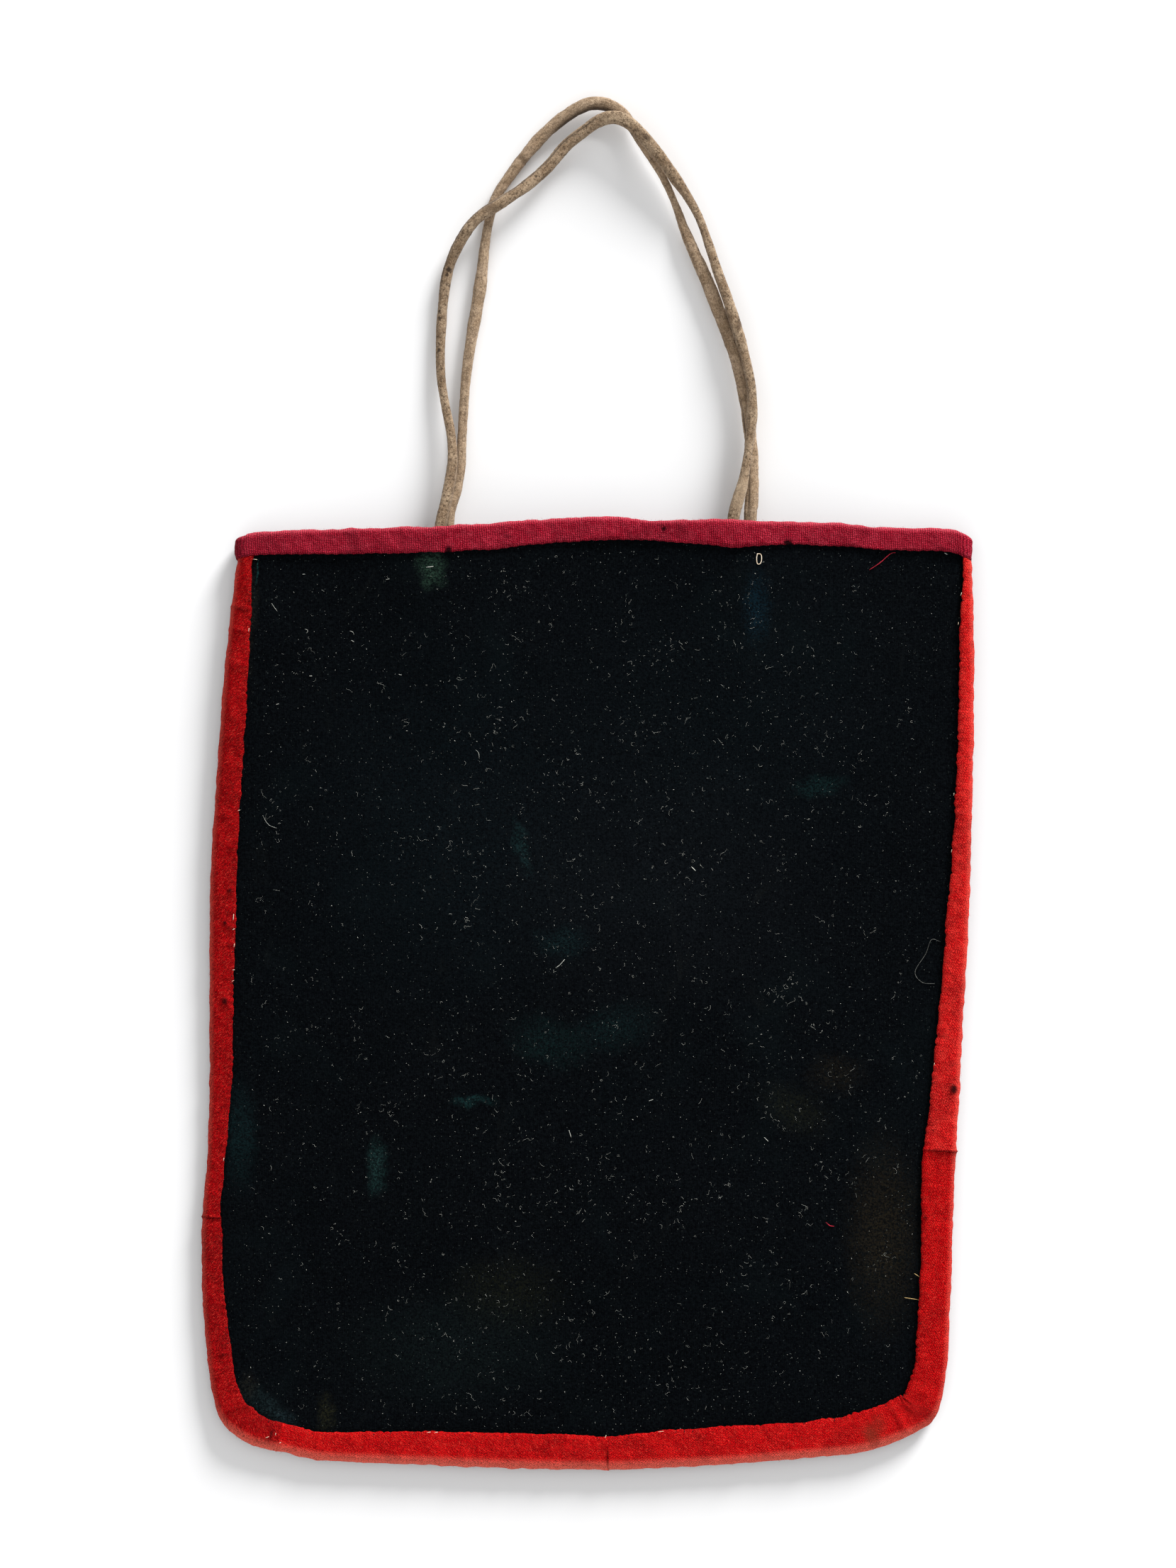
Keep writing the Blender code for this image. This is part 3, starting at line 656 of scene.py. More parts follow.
def add_marks(graph: Graph, effects: Effects, place: Socket, colour: Socket,
              marks: Sequence[Mark]) -> Socket:
    """Lay marks over a colour.

    Args:
        graph: the material's graph.
        effects: the shared groups.
        place: the coordinates that the marks are measured in.
        colour: what they lie on.
        marks: the marks.

    Returns:
        The colour with its marks.
    """
    for mark in marks:
        x, y = spot(*mark.middle)
        one = graph.use(effects.mark, Place=place, Centre=(x, y, 0.0), Turn=math.radians(mark.turn),
                        Size=(mark.size[0] * PIXEL, mark.size[1] * PIXEL, 1.0), Softness=mark.softness,
                        Depth=mark.depth)
        colour = graph.mix(one.outputs["Share"], colour, mark.colour)
    return colour


def ragged(graph: Graph, place: Socket, scale: float, reach: float) -> Socket:
    """Coordinates that wander a little, so that marks on them have uneven edges."""
    cloud = graph.node("ShaderNodeTexNoise")
    graph.feed(cloud.inputs["Vector"], place)
    cloud.inputs["Scale"].default_value = scale
    cloud.inputs["Detail"].default_value = 3.0
    away = graph.vector("SUBTRACT", cloud.outputs["Color"], (0.5, 0.5, 0.5))
    return graph.vector("ADD", place, graph.vector("MULTIPLY", away, (reach, reach, 0.0)))


@dataclass(frozen=True)
class WoolFinish:
    """Dyed wool cloth: fuzzy yarns, painted shade between yarns, painted highlights on yarn tops and outer edges, worn
    and stained places.
    """

    name: str
    mid: Colour
    light: Colour
    dark: Colour
    pitch: float = 0.00085
    twill: float = 0.0
    felting: float = 0.45
    slant: float = 0.0
    # Colour of the painted highlight that the rim mask lays on the outer edge.
    rim: Colour = screen(255, 122, 104)
    fuzz: Colour = screen(248, 74, 60)
    fuzzy: float = 0.42
    marks: tuple[Mark, ...] = ()

    def material(self, effects: Effects) -> bpy.types.Material:
        """Build the cloth's material from the shared groups."""
        made, graph, shader = new_material(self.name, 0.95, 0.04)
        shader.inputs["Sheen Weight"].default_value = 0.02
        shader.inputs["Sheen Roughness"].default_value = 0.40
        shader.inputs["Sheen Tint"].default_value = (*self.light, 1.0)
        place = graph.place()
        cloth = graph.place("UV")
        weave = graph.use(effects.weave, Cloth=cloth, Pitch=self.pitch, Twill=self.twill, Felting=self.felting,
                          Slant=self.slant)
        height, gap, grain = (weave.outputs[k] for k in ("Height", "Gap", "Grain"))
        cloud = graph.noise(place, 70.0, 4.0, 0.6)
        blotch = graph.noise(place, 330.0, 3.0, 0.6)
        colour = graph.mix(graph.between(blotch, 0.35, 0.80, 0.0, 0.45), self.mid, self.light)
        colour = graph.mix(graph.math("MULTIPLY", graph.between(cloud, 0.46, 0.72), 0.35), colour, self.dark)
        # Painted highlight: the rim mask lightens the outer edge.
        colour = graph.mix(graph.math("MULTIPLY", graph.mask("rim"), 0.9), colour, self.rim)
        # Painted highlight on the yarn tops, then painted shade in the gaps between the yarns.
        colour = graph.mix(graph.between(height, 0.60, 0.95, 0.0, 0.62), colour, self.light)
        colour = graph.mix(graph.math("MULTIPLY", gap, 0.72), colour, self.dark)
        fibre = graph.between(graph.noise(graph.vector("MULTIPLY", graph.turned(cloth, 0.9), (0.35, 1.5, 1.0)), 2600.0,
                                          2.0, 0.6, 1.0), 0.52, 0.74, 0.0, self.fuzzy)
        colour = graph.mix(fibre, colour, self.fuzz)
        colour = add_marks(graph, effects, ragged(graph, place, 900.0, 0.0011), colour, self.marks)
        # The hole mask darkens holes and joins, and as painted shade the red wool's inner edge.
        colour = graph.mix(graph.mask("hole"), colour, screen(24, 6, 8))
        bounced = graph.math("MULTIPLY", graph.node("ShaderNodeLightPath").outputs["Is Diffuse Ray"], 0.85)
        colour = graph.mix(bounced, colour, screen(96, 92, 92))
        graph.feed(shader.inputs["Base Color"], colour)
        graph.feed(shader.inputs["Roughness"], graph.between(grain, 0.2, 0.8, 0.82, 1.0))
        relief = graph.math("ADD", height, graph.math("MULTIPLY", grain, 0.5))
        graph.feed(shader.inputs["Normal"], graph.bump(relief, 0.00030, 0.9))
        return made


@dataclass(frozen=True)
class VelvetFinish:
    """Black cotton velvet: matted nap, blue-green rubbed places, olive stains and lint."""

    name: str = "velvet"
    rubbed: Colour = screen(20, 46, 48)
    marks: tuple[Mark, ...] = ()

    def material(self, effects: Effects) -> bpy.types.Material:
        """Build the velvet's material from the shared groups."""
        made, graph, shader = new_material(self.name, 0.96, 0.03)
        shader.inputs["Sheen Weight"].default_value = 0.004
        shader.inputs["Sheen Roughness"].default_value = 0.35
        shader.inputs["Sheen Tint"].default_value = (0.45, 0.75, 0.8, 1.0)
        place = graph.place()
        nap = graph.noise(place, 2100.0, 3.0, 0.7, 0.4)
        pile = graph.use(effects.weave, Cloth=place, Pitch=0.00060, Felting=0.15)
        tufts = graph.math("ADD", graph.math("MULTIPLY", graph.noise(place, 1300.0, 4.0, 0.7, 0.5), 0.85),
                           graph.math("MULTIPLY", pile.outputs["Height"], 0.12))
        cloud = graph.noise(place, 26.0, 5.0, 0.62, 0.5)
        colour = graph.mix(graph.between(tufts, 0.36, 0.66), screen(1, 2, 4), screen(11, 15, 18))
        colour = graph.mix(graph.between(nap, 0.62, 0.80, 0.0, 0.55), colour, screen(38, 48, 50))
        colour = graph.mix(graph.between(cloud, 0.52, 0.76, 0.0, 0.30), colour, screen(12, 20, 22))
        worn = graph.noise(graph.vector("MULTIPLY", place, (1.0, 0.5, 1.0)), 60.0, 4.0, 0.7, 1.2)
        colour = graph.mix(graph.between(worn, 0.60, 0.80, 0.0, 0.30), colour, screen(24, 26, 25))
        wandering = ragged(graph, place, 170.0, 0.008)
        fine = graph.between(graph.noise(place, 1500.0, 3.0, 0.7), 0.42, 0.62, 0.12, 1.0)
        base = colour
        colour = add_marks(graph, effects, wandering, colour, self.marks)
        colour = graph.mix(fine, base, colour)
        lint = graph.use(effects.specks, Place=place, Scale=1100.0, Size=0.10, Few=0.965)
        dust = graph.use(effects.specks, Place=place, Scale=2100.0, Size=0.26, Few=0.94)
        colour = graph.mix(graph.math("MULTIPLY", lint.outputs["Share"], 0.75), colour, screen(190, 190, 180))
        colour = graph.mix(graph.math("MULTIPLY", dust.outputs["Share"], 0.30), colour, screen(120, 130, 125))
        graph.feed(shader.inputs["Base Color"], colour)
        graph.feed(shader.inputs["Roughness"], graph.between(cloud, 0.3, 0.7, 0.9, 1.0))
        relief = graph.math("ADD", tufts, graph.math("MULTIPLY", nap, 0.5))
        graph.feed(shader.inputs["Normal"], graph.bump(relief, 0.00035, 0.8))
        return made


@dataclass(frozen=True)
class HideFinish:
    """Soft buckskin with a rough nap, dark pits, dark marks and painted shade."""

    name: str
    mid: Colour = screen(138, 113, 87)
    light: Colour = screen(182, 158, 130)
    dark: Colour = screen(72, 54, 38)
    pits: float = 0.55
    marks: tuple[Mark, ...] = ()

    def material(self, effects: Effects) -> bpy.types.Material:
        """Build the hide's material from the shared groups."""
        made, graph, shader = new_material(self.name, 0.9, 0.15)
        shader.inputs["Sheen Weight"].default_value = 0.12
        shader.inputs["Sheen Roughness"].default_value = 0.5
        place = graph.place()
        cloth = graph.place("UV")
        streaks = graph.noise(graph.vector("MULTIPLY", cloth, (0.22, 1.0, 1.0)), 1300.0, 4.0, 0.65, 0.3)
        cloud = graph.noise(place, 190.0, 5.0, 0.65, 0.6)
        nap = graph.noise(place, 2600.0, 3.0, 0.7)
        colour = graph.mix(graph.between(cloud, 0.34, 0.66), self.mid, self.light)
        colour = graph.mix(graph.between(streaks, 0.46, 0.74, 0.0, 0.45), colour, self.dark)
        colour = graph.mix(graph.between(graph.noise(place, 1000.0, 4.0, 0.75), 0.50, 0.62, 0.0, self.pits), colour,
                           self.dark)
        colour = graph.mix(graph.between(nap, 0.52, 0.72, 0.0, 0.55), colour, screen(222, 200, 170))
        pits = graph.use(effects.specks, Place=place, Scale=900.0, Size=0.30, Few=0.90)
        colour = graph.mix(graph.math("MULTIPLY", pits.outputs["Share"], self.pits), colour, screen(60, 46, 34))
        grains = graph.between(graph.noise(place, 1900.0, 3.0, 0.7, 0.6), 0.42, 0.62)
        colour = graph.mix(graph.math("MULTIPLY", grains, 0.42), colour, self.dark)
        colour = add_marks(graph, effects, ragged(graph, place, 1100.0, 0.0016), colour, self.marks)
        # Painted shade: the mask darkens the fold's groove and a side that lies under the other thong.
        colour = graph.mix(graph.math("MULTIPLY", graph.mask("painted_shade"), 0.9), colour, screen(52, 37, 25))
        graph.feed(shader.inputs["Base Color"], colour)
        graph.feed(shader.inputs["Roughness"], graph.between(nap, 0.2, 0.8, 0.78, 1.0))
        relief = graph.math("ADD", graph.math("MULTIPLY", nap, 0.9), streaks)
        graph.feed(shader.inputs["Normal"], graph.bump(relief, 0.00040, 0.9))
        return made


@dataclass(frozen=True)
class FibreFinish:
    """Thread, lint, hair or fuzz, uneven in colour along its length."""

    name: str
    light: Colour
    dark: Colour
    roughness: float = 0.8

    def material(self) -> bpy.types.Material:
        """Build the thread's material."""
        made, graph, shader = new_material(self.name, self.roughness, 0.3)
        place = graph.place()
        uneven = graph.noise(place, 1400.0, 3.0, 0.6)
        graph.feed(shader.inputs["Base Color"], graph.mix(graph.between(uneven, 0.35, 0.7), self.light, self.dark))
        graph.feed(shader.inputs["Normal"], graph.bump(graph.noise(place, 5200.0, 2.0), 0.00008))
        return made


@dataclass(frozen=True)
class BeadFinish:
    """Small opaque glass beads of one ground colour, each a little off the next."""

    name: str = "seed_beads"
    ground: Colour = screen(232, 232, 224)
    other: Colour = screen(196, 204, 206)

    def material(self) -> bpy.types.Material:
        """Build the glass beads' material."""
        made, graph, shader = new_material(self.name, 0.18, 0.55)
        shader.inputs["Coat Weight"].default_value = 0.3
        shader.inputs["Coat Roughness"].default_value = 0.08
        place = graph.place()
        cells = graph.node("ShaderNodeTexWhiteNoise", noise_dimensions="3D")
        step = graph.vector("FLOOR", graph.vector("DIVIDE", place, (0.0018, 0.0020, 1.0)))
        graph.feed(cells.inputs["Vector"], step)
        shade = graph.math("MULTIPLY_ADD", cells.outputs["Value"], 0.7, graph.math(
            "MULTIPLY", graph.noise(place, 40.0, 3.0), 0.5))
        graph.feed(shader.inputs["Base Color"], graph.mix(graph.between(shade, 0.2, 1.1), self.ground, self.other))
        graph.feed(shader.inputs["Roughness"], graph.between(graph.noise(place, 900.0), 0.3, 0.7, 0.12, 0.30))
        return made


@dataclass(frozen=True)
class ClothFinish:
    """Plain unbleached cloth under the beads."""

    name: str = "ground_cloth"
    light: Colour = screen(182, 164, 134)
    dark: Colour = screen(120, 102, 78)

    def material(self, effects: Effects) -> bpy.types.Material:
        """Build the cloth's material from the shared groups."""
        made, graph, shader = new_material(self.name, 0.9, 0.2)
        place = graph.place()
        weave = graph.use(effects.weave, Cloth=place, Pitch=0.0006, Felting=0.2)
        colour = graph.mix(graph.between(graph.noise(place, 60.0, 4.0), 0.35, 0.7), self.light, self.dark)
        # Painted shade in the gaps between the yarns.
        graph.feed(shader.inputs["Base Color"], graph.mix(weave.outputs["Gap"], colour, self.dark))
        graph.feed(shader.inputs["Normal"], graph.bump(weave.outputs["Height"], 0.0002))
        return made


@dataclass
class Panel:
    """A cloth panel cut to the bag's outline from a fine grid."""

    form: BagForm
    step: float = 0.0016
    wall: float = 0.0008
    side_inset: tuple[float, float] = (0.0017, 0.0041)
    under_wool: float = 0.0017
    mouth_inset: float = 0.0022

    def outline(self) -> np.ndarray:
        """Closed outline of the cloth, hidden under the wool all round.

        Returns:
            Rows of x and y, down the left side, round the bottom, up the right and back along the mouth.
        """
        form = self.form
        run = np.linspace(0.0, form.rim_length, 1400)
        at, into = form.rim_at(run)
        inset = np.clip(form.red_width(run) - self.under_wool, *self.side_inset)
        rim = at + inset[:, None] * into
        rim = rim[rim[:, 1] < form.mouth_top(rim[:, 0]) - self.mouth_inset]
        top = np.stack([form.mouth[:, 0], form.mouth[:, 1] - self.mouth_inset], axis=1)[::-1]
        return np.vstack([rim, top[(top[:, 0] > rim[0, 0]) & (top[:, 0] < rim[-1, 0])]])

    def cut(self, name: str) -> tuple[bpy.types.Mesh, np.ndarray]:
        """Cut a grid to the outline.

        Args:
            name: the mesh's name.

        Returns:
            The flat mesh and its points as rows of x and y.
        """
        edge = self.outline()
        low, high = edge.min(axis=0) - self.step, edge.max(axis=0) + self.step
        counts = np.ceil((high - low) / self.step).astype(int)
        shell = bmesh.new()
        bmesh.ops.create_grid(shell, x_segments=int(counts[0]), y_segments=int(counts[1]), size=1.0)
        bmesh.ops.scale(shell, vec=((high[0] - low[0]) / 2, (high[1] - low[1]) / 2, 1.0), verts=shell.verts[:])
        bmesh.ops.translate(shell, vec=(*((low + high) / 2), 0.0), verts=shell.verts[:])
        places = np.array([v.co[:2] for v in shell.verts])
        gone = self.depth(places, edge) < 0.35 * self.step
        bmesh.ops.delete(shell, geom=[v for v, out in zip(shell.verts[:], gone) if out], context="VERTS")
        loose = [v for v in shell.verts if len(v.link_faces) < 1]
        bmesh.ops.delete(shell, geom=loose, context="VERTS")
        border = [v for v in shell.verts if v.is_boundary]
        for vert in border:
            nearest = int(np.hypot(*(edge - np.array(vert.co[:2])).T).argmin())
            vert.co.x, vert.co.y = edge[nearest]
        bmesh.ops.remove_doubles(shell, verts=border, dist=0.0002)
        mesh = bpy.data.meshes.new(name)
        finish_mesh(mesh, shell)
        flat = np.empty(len(mesh.vertices) * 3)
        mesh.vertices.foreach_get("co", flat)
        return mesh, flat.reshape(-1, 3)[:, :2]

    @staticmethod
    def depth(places: np.ndarray, edge: np.ndarray) -> np.ndarray:
        """How far inside a closed outline places lie, below 0 outside it.

        Args:
            places: rows of x and y.
            edge: the outline's points in order.

        Returns:
            One distance a place.
        """
        found = np.empty(len(places))
        nxt = np.roll(edge, -1, axis=0)
        for start in range(0, len(places), 3000):
            some = places[start:start + 3000]
            away = np.hypot(some[:, None, 0] - edge[None, :, 0], some[:, None, 1] - edge[None, :, 1]).min(axis=1)
            passes = (edge[None, :, 1] > some[:, None, 1]) != (nxt[None, :, 1] > some[:, None, 1])
            rise = np.where(nxt[:, 1] == edge[:, 1], 1e-12, nxt[:, 1] - edge[:, 1])
            cross = edge[:, 0] + (some[:, None, 1] - edge[:, 1]) / rise * (nxt[:, 0] - edge[:, 0])
            inside = (passes & (some[:, None, 0] < cross)).sum(axis=1) % 2 == 1
            found[start:start + 3000] = np.where(inside, away, -away)
        return found

    def lay(self, name: str, heights: np.ndarray, mesh: bpy.types.Mesh, places: np.ndarray) -> bpy.types.Object:
        """Lift a cut cloth to its heights and give it its wall.

        Args:
            name: the piece's name.
            heights: the upper face's heights.
            mesh: the cut mesh.
            places: its points.

        Returns:
            The cloth.
        """
        mesh.vertices.foreach_set("co", np.column_stack([places, heights]).ravel())
        mesh.update()
        if mesh.polygons[0].normal.z < 0:
            mesh.flip_normals()
        piece = bpy.data.objects.new(name, mesh)
        bpy.context.scene.collection.objects.link(piece)
        wall = piece.modifiers.new("wall", "SOLIDIFY")
        wall.thickness = self.wall
        wall.offset = -1.0
        return piece


VELVET_MARKS = (
    Mark((737, 1194), (9, 32), screen(26, 52, 52), 0.75, 0.6, -12),
    Mark((534, 1643), (11, 30), screen(34, 62, 60), 0.65, 0.8),
    Mark((669, 1551), (26, 8), screen(22, 50, 50), 0.6, 0.7),
    Mark((775, 1468), (40, 26), screen(20, 42, 42), 0.45, 0.9, 20),
    Mark((867, 1448), (44, 24), screen(20, 42, 43), 0.4, 0.9, -15),
    Mark((795, 1327), (30, 18), screen(20, 46, 48), 0.5, 0.8),
    Mark((1154, 1109), (34, 12), screen(20, 46, 46), 0.55, 0.7, -10),
    Mark((1065, 860), (16, 40), screen(14, 40, 52), 0.6, 0.8),
    Mark((610, 806), (17, 20), screen(44, 66, 54), 0.8, 0.7),
    Mark((340, 1600), (18, 60), screen(18, 40, 42), 0.5, 0.8),
    Mark((365, 807), (2, 17), screen(30, 74, 72), 0.8, 0.4, 6), Mark((352, 880), (9, 70), screen(34, 34, 30), 0.7, 0.9, 4),
    Mark((380, 1984), (38, 12), screen(30, 44, 46), 0.65, 0.8, 38),
    Mark((400, 1998), (16, 7), screen(34, 50, 56), 0.45, 0.8, 30),
    Mark((352, 1952), (10, 14), screen(38, 36, 30), 0.45, 0.8),
    Mark((460, 1992), (9, 20), screen(44, 44, 28), 0.55, 0.9),
    Mark((1245, 1740), (38, 100), screen(36, 31, 22), 0.75, 0.8),
    Mark((1120, 1562), (40, 24), screen(28, 30, 22), 0.55, 0.8, 25),
    Mark((1177, 1511), (30, 22), screen(32, 28, 20), 0.5, 0.8),
    Mark((715, 1820), (60, 40), screen(28, 30, 20), 0.55, 0.8),
    Mark((640, 1900), (120, 60), screen(20, 30, 30), 0.5, 0.8),
    Mark((900, 1250), (190, 120), screen(20, 24, 28), 0.45, 0.9, 15),
    Mark((620, 1150), (150, 200), screen(12, 22, 26), 0.45, 0.9),
    Mark((1010, 1000), (200, 150), screen(15, 24, 28), 0.35, 0.9),
)


@dataclass
class VelvetBack:
    """The velvet back of the bag."""

    form: BagForm
    finish: VelvetFinish = VelvetFinish(marks=VELVET_MARKS)
    cut_size: tuple[float, float] = (0.242, 0.302)

    def build(self, effects: Effects) -> bpy.types.Object:
        """Lay the velvet over the pocket and dress it."""
        panel = Panel(self.form)
        mesh, places = panel.cut("velvet_back")
        heights = self.form.velvet(places[:, 0], places[:, 1])
        piece = panel.lay("velvet_back", heights, mesh, places)
        show(piece, self.finish.material(effects), "velvet", "back_panel")
        return piece


@dataclass
class FrontCloth:
    """The cloth that carries the beads, under the bag."""

    form: BagForm
    cut_size: tuple[float, float] = (0.242, 0.302)

    def build(self, effects: Effects) -> bpy.types.Object:
        """Lay the cloth flat and dress it."""
        panel = Panel(self.form, step=0.0040, side_inset=(0.0041, 0.0042))
        mesh, places = panel.cut("front_cloth")
        heights = self.form.front_top - 0.0001 + 0.00005 * ripple(places, 0.02, 8)
        piece = panel.lay("front_cloth", heights, mesh, places)
        show(piece, ClothFinish().material(effects), "ground_cloth", "front_panel")
        return piece


@dataclass(frozen=True)
class Pucker:
    """A dent, hole or bulge in wool: its place in pixels, half sizes in metres, and its depth."""

    middle: Pixel
    along: float
    across: float
    depth: float
    hole: float = 0.0


RED_PUCKERS = (
    Pucker((344, 859), 0.0007, 0.0040, 0.0008, 0.45), Pucker((345, 842), 0.0026, 0.0030, -0.0005),
    Pucker((342, 890), 0.0006, 0.0035, 0.0006, 0.25), Pucker((335, 938), 0.0022, 0.0030, 0.0005, 0.15),
    Pucker((318, 1908), 0.0006, 0.0018, 0.0006, 0.35), Pucker((326, 1256), 0.0009, 0.0007, 0.0008, 0.95),
    Pucker((319, 1301), 0.0008, 0.0007, 0.0008, 1.0), Pucker((319, 1411), 0.0015, 0.0011, 0.0009, 0.9),
    Pucker((326, 1287), 0.0004, 0.0011, 0.0005, 0.5), Pucker((327, 1308), 0.0004, 0.0009, 0.0005, 0.5),
    Pucker((326, 1331), 0.0004, 0.0011, 0.0005, 0.5), Pucker((1344, 1535), 0.0020, 0.0013, 0.0009, 0.97),
    Pucker((1305, 1715), 0.0007, 0.0006, 0.0006, 0.8), Pucker((295, 1379), 0.0009, 0.0009, -0.0006),
    Pucker((1328, 1926), 0.0006, 0.0005, 0.0003, 0.5), Pucker((385, 2020), 0.0006, 0.0028, 0.0007, 0.75),
    Pucker((380, 2002), 0.0011, 0.0010, -0.0007), Pucker((697, 2068), 0.0006, 0.0006, -0.0008),
    Pucker((318, 1150), 0.0015, 0.0030, 0.0003), Pucker((309, 1530), 0.0012, 0.0030, 0.0003),
    Pucker((303, 1640), 0.0012, 0.0028, 0.0003), Pucker((1330, 1450), 0.0012, 0.0030, 0.0003),
    Pucker((322, 1040), 0.0013, 0.0030, 0.0003), Pucker((560, 2040), 0.0016, 0.0030, 0.0003),
    Pucker((1010, 2030), 0.0014, 0.0030, 0.0003), Pucker((1150, 2020), 0.0012, 0.0028, 0.0003),
    Pucker((1290, 1985), 0.0010, 0.0034, 0.0004, 0.1), Pucker((1268, 2000), 0.0010, 0.0034, 0.0004, 0.1),
    Pucker((345, 2005), 0.0010, 0.0030, 0.0004, 0.1), Pucker((330, 1985), 0.0010, 0.0028, 0.0003, 0.1),
)


@dataclass
class RedStrip:
    """One strip of the red wool, folded round both panels' edges and sewn down."""

    form: BagForm
    node: str
    start: float
    end: float
    finish: WoolFinish
    joins: tuple[float, float] = (0.0, 0.0)          # how deep the joins at its ends show
    stitch: float = 0.0026
    scallop: float = 0.0003
    inner_shade: float = 0.15
    # Reaches of the painted rim highlight at the sides and along the bottom.
    side_rim_light: float = 0.0017
    bottom_rim_light: float = 0.0034
    step: float = 0.0007
    outer_points: int = 40
    inner_points: int = 14
    seed: int = 1

    def sections(self, run: np.ndarray) -> tuple[np.ndarray, np.ndarray]:
        """Sections of the strip before its unevenness: inset and height at each station.

        Args:
            run: lengths along the rim.

        Returns:
            Stations by points by inset and height, and each point's length round the section.
        """
        form = self.form
        at, into = form.rim_at(run)
        widths = form.red_width(run)
        place = np.stack([run, run * 0], axis=1)
        phase = run / self.stitch + 0.30 * ripple(place, 0.011, self.seed + 41)
        beat = np.abs(np.sin(math.pi * phase)) ** 0.7
        depth = self.scallop * (1.0 + 0.75 * ripple(place, 0.010, self.seed + 42))
        widths = widths + depth * (beat - 0.6) + 0.00016 * ripple(place, 0.009, self.seed + 40)
        radius = form.thick(at[:, 1]) / 2
        all_sections, lengths = [], []
        for k in range(len(run)):
            r, leg = radius[k], widths[k]
            roll = math.acos(max(min(leg / r - 1, 1.0), -1.0)) if leg < r else math.pi / 2
            turn = np.linspace(1.5 * math.pi, roll, 26)
            outer = [np.array([[form.front_leg, 0.0]]),
                     np.stack([r + r * np.cos(turn), r + r * np.sin(turn)], axis=1)]
            thin = form.wool * 0.95
            if leg > r:
                inset = np.linspace(r, leg, 12)[1:]
                q = at[k] + inset[:, None] * into[k]
                outer.append(np.stack([inset, form.top(q[:, 0], q[:, 1]) + form.clear + form.wool], axis=1))
            outer = np.vstack(outer)
            tip = outer[-1]
            close = np.exp(-np.maximum(leg - outer[:, 0], 0.0) / 0.0009) * (outer[:, 1] > r)
            outer[:, 1] -= close * (0.00030 + 0.00035 * (1 - beat[k]))
            tip = outer[-1]
            fold = np.linspace(0.42 * math.pi, -0.5 * math.pi, 6)
            edge = np.stack([tip[0] - 0.0002 + thin / 2 * np.cos(fold), tip[1] - thin / 2 + thin / 2 * np.sin(fold)],
                            axis=1)
            outer = evenly(np.vstack([outer, edge[1:]]), self.outer_points)
            back = np.linspace(min(roll + 0.25, math.pi * 0.72), 1.5 * math.pi, 16)
            inner = np.stack([r + (r - form.wool) * np.cos(back), r + (r - form.wool) * np.sin(back)], axis=1)
            if leg > r + 0.0006:
                q = at[k] + (leg - 0.0007) * into[k]
                lid = float(form.top(q[:1], q[1:])[0]) + form.clear
                inner = np.vstack([[[leg - 0.0007, lid - 0.00015]], [[r, 2 * r - form.wool]], inner[1:]])
            inner = np.vstack([inner, [[form.front_leg, form.wool]]])
            inner = evenly(inner, self.inner_points)
            section = np.vstack([outer, inner, outer[:1]])
            all_sections.append(section)
            lengths.append(reach_along(section))
        return np.array(all_sections), np.array(lengths)

    def build(self, effects: Effects) -> bpy.types.Object:
        """Sweep the strip along the rim, pucker it and dress it."""
        form = self.form
        count = int((self.end - self.start) / self.step) + 1
        run = np.linspace(self.start, self.end, count)
        at, into = form.rim_at(run)
        sections, lengths = self.sections(run)
        outside = np.zeros(sections.shape[1])
        outside[4:self.outer_points - 1] = 1.0
        outside[self.outer_points - 4:self.outer_points - 1] = (0.9, 0.7, 0.4)
        outside[4:8] = (0.2, 0.5, 0.8, 1.0)
        slope = np.gradient(sections[:, :-1], axis=1)
        slope = np.concatenate([slope, slope[:, :1]], axis=1)
        normal = np.stack([slope[..., 1], -slope[..., 0]], axis=-1)
        normal /= np.maximum(np.linalg.norm(normal, axis=-1, keepdims=True), 1e-9)
        flat = at[:, None, :] + sections[..., :1] * into[:, None, :]
        cloth = np.stack([np.broadcast_to(run[:, None], lengths.shape), lengths], axis=-1)
        felt = 0.00010 * ripple(cloth, 0.0055, self.seed) + 0.00005 * ripple(cloth, 0.0021, self.seed + 9)
        felt = felt + 0.00010 * ripple(cloth, 0.016, self.seed + 5)
        beat = np.cos(2 * math.pi * run / self.stitch)[:, None]
        leg = form.red_width(run)[:, None]
        near_edge = np.exp(-np.maximum(leg - sections[..., 0], 0.0) / 0.0022) * (sections[..., 1] > 0.002)
        felt = felt - 0.00012 * beat * near_edge
        hole = np.zeros(lengths.shape)
        upper = sections[..., 1] > form.thick(at[:, 1])[:, None] * 0.45
        for pucker in RED_PUCKERS:
            x, y = spot(*pucker.middle)
            dx, dy = flat[..., 0] - x, flat[..., 1] - y
            over = dx * into[:, None, 0] + dy * into[:, None, 1]
            down = dx * into[:, None, 1] - dy * into[:, None, 0]
            share = np.exp(-(over / pucker.across) ** 2 - (down / pucker.along) ** 2) * upper
            felt = felt - pucker.depth * share
            hole = np.maximum(hole, np.clip(share * 1.6 - 0.35, 0.0, 1.0) * pucker.hole)
        seam = self.joins[0] * np.exp(-(run - self.start) / 0.0006) + self.joins[1] * np.exp(
            -(self.end - run) / 0.0006)
        felt = felt - 0.00050 * seam[:, None]
        hole = np.maximum(hole, 0.75 * np.clip(seam[:, None] * 1.3 - 0.55, 0.0, 1.0) * upper)
        # Painted shade along the inner edge, deeper between the stitches, carried in the hole mask.
        hole = np.maximum(hole, self.inner_shade * near_edge * (0.6 - 0.4 * beat))
        sections = sections + normal * (felt * outside)[..., None]
        flat = at[:, None, :] + sections[..., :1] * into[:, None, :]
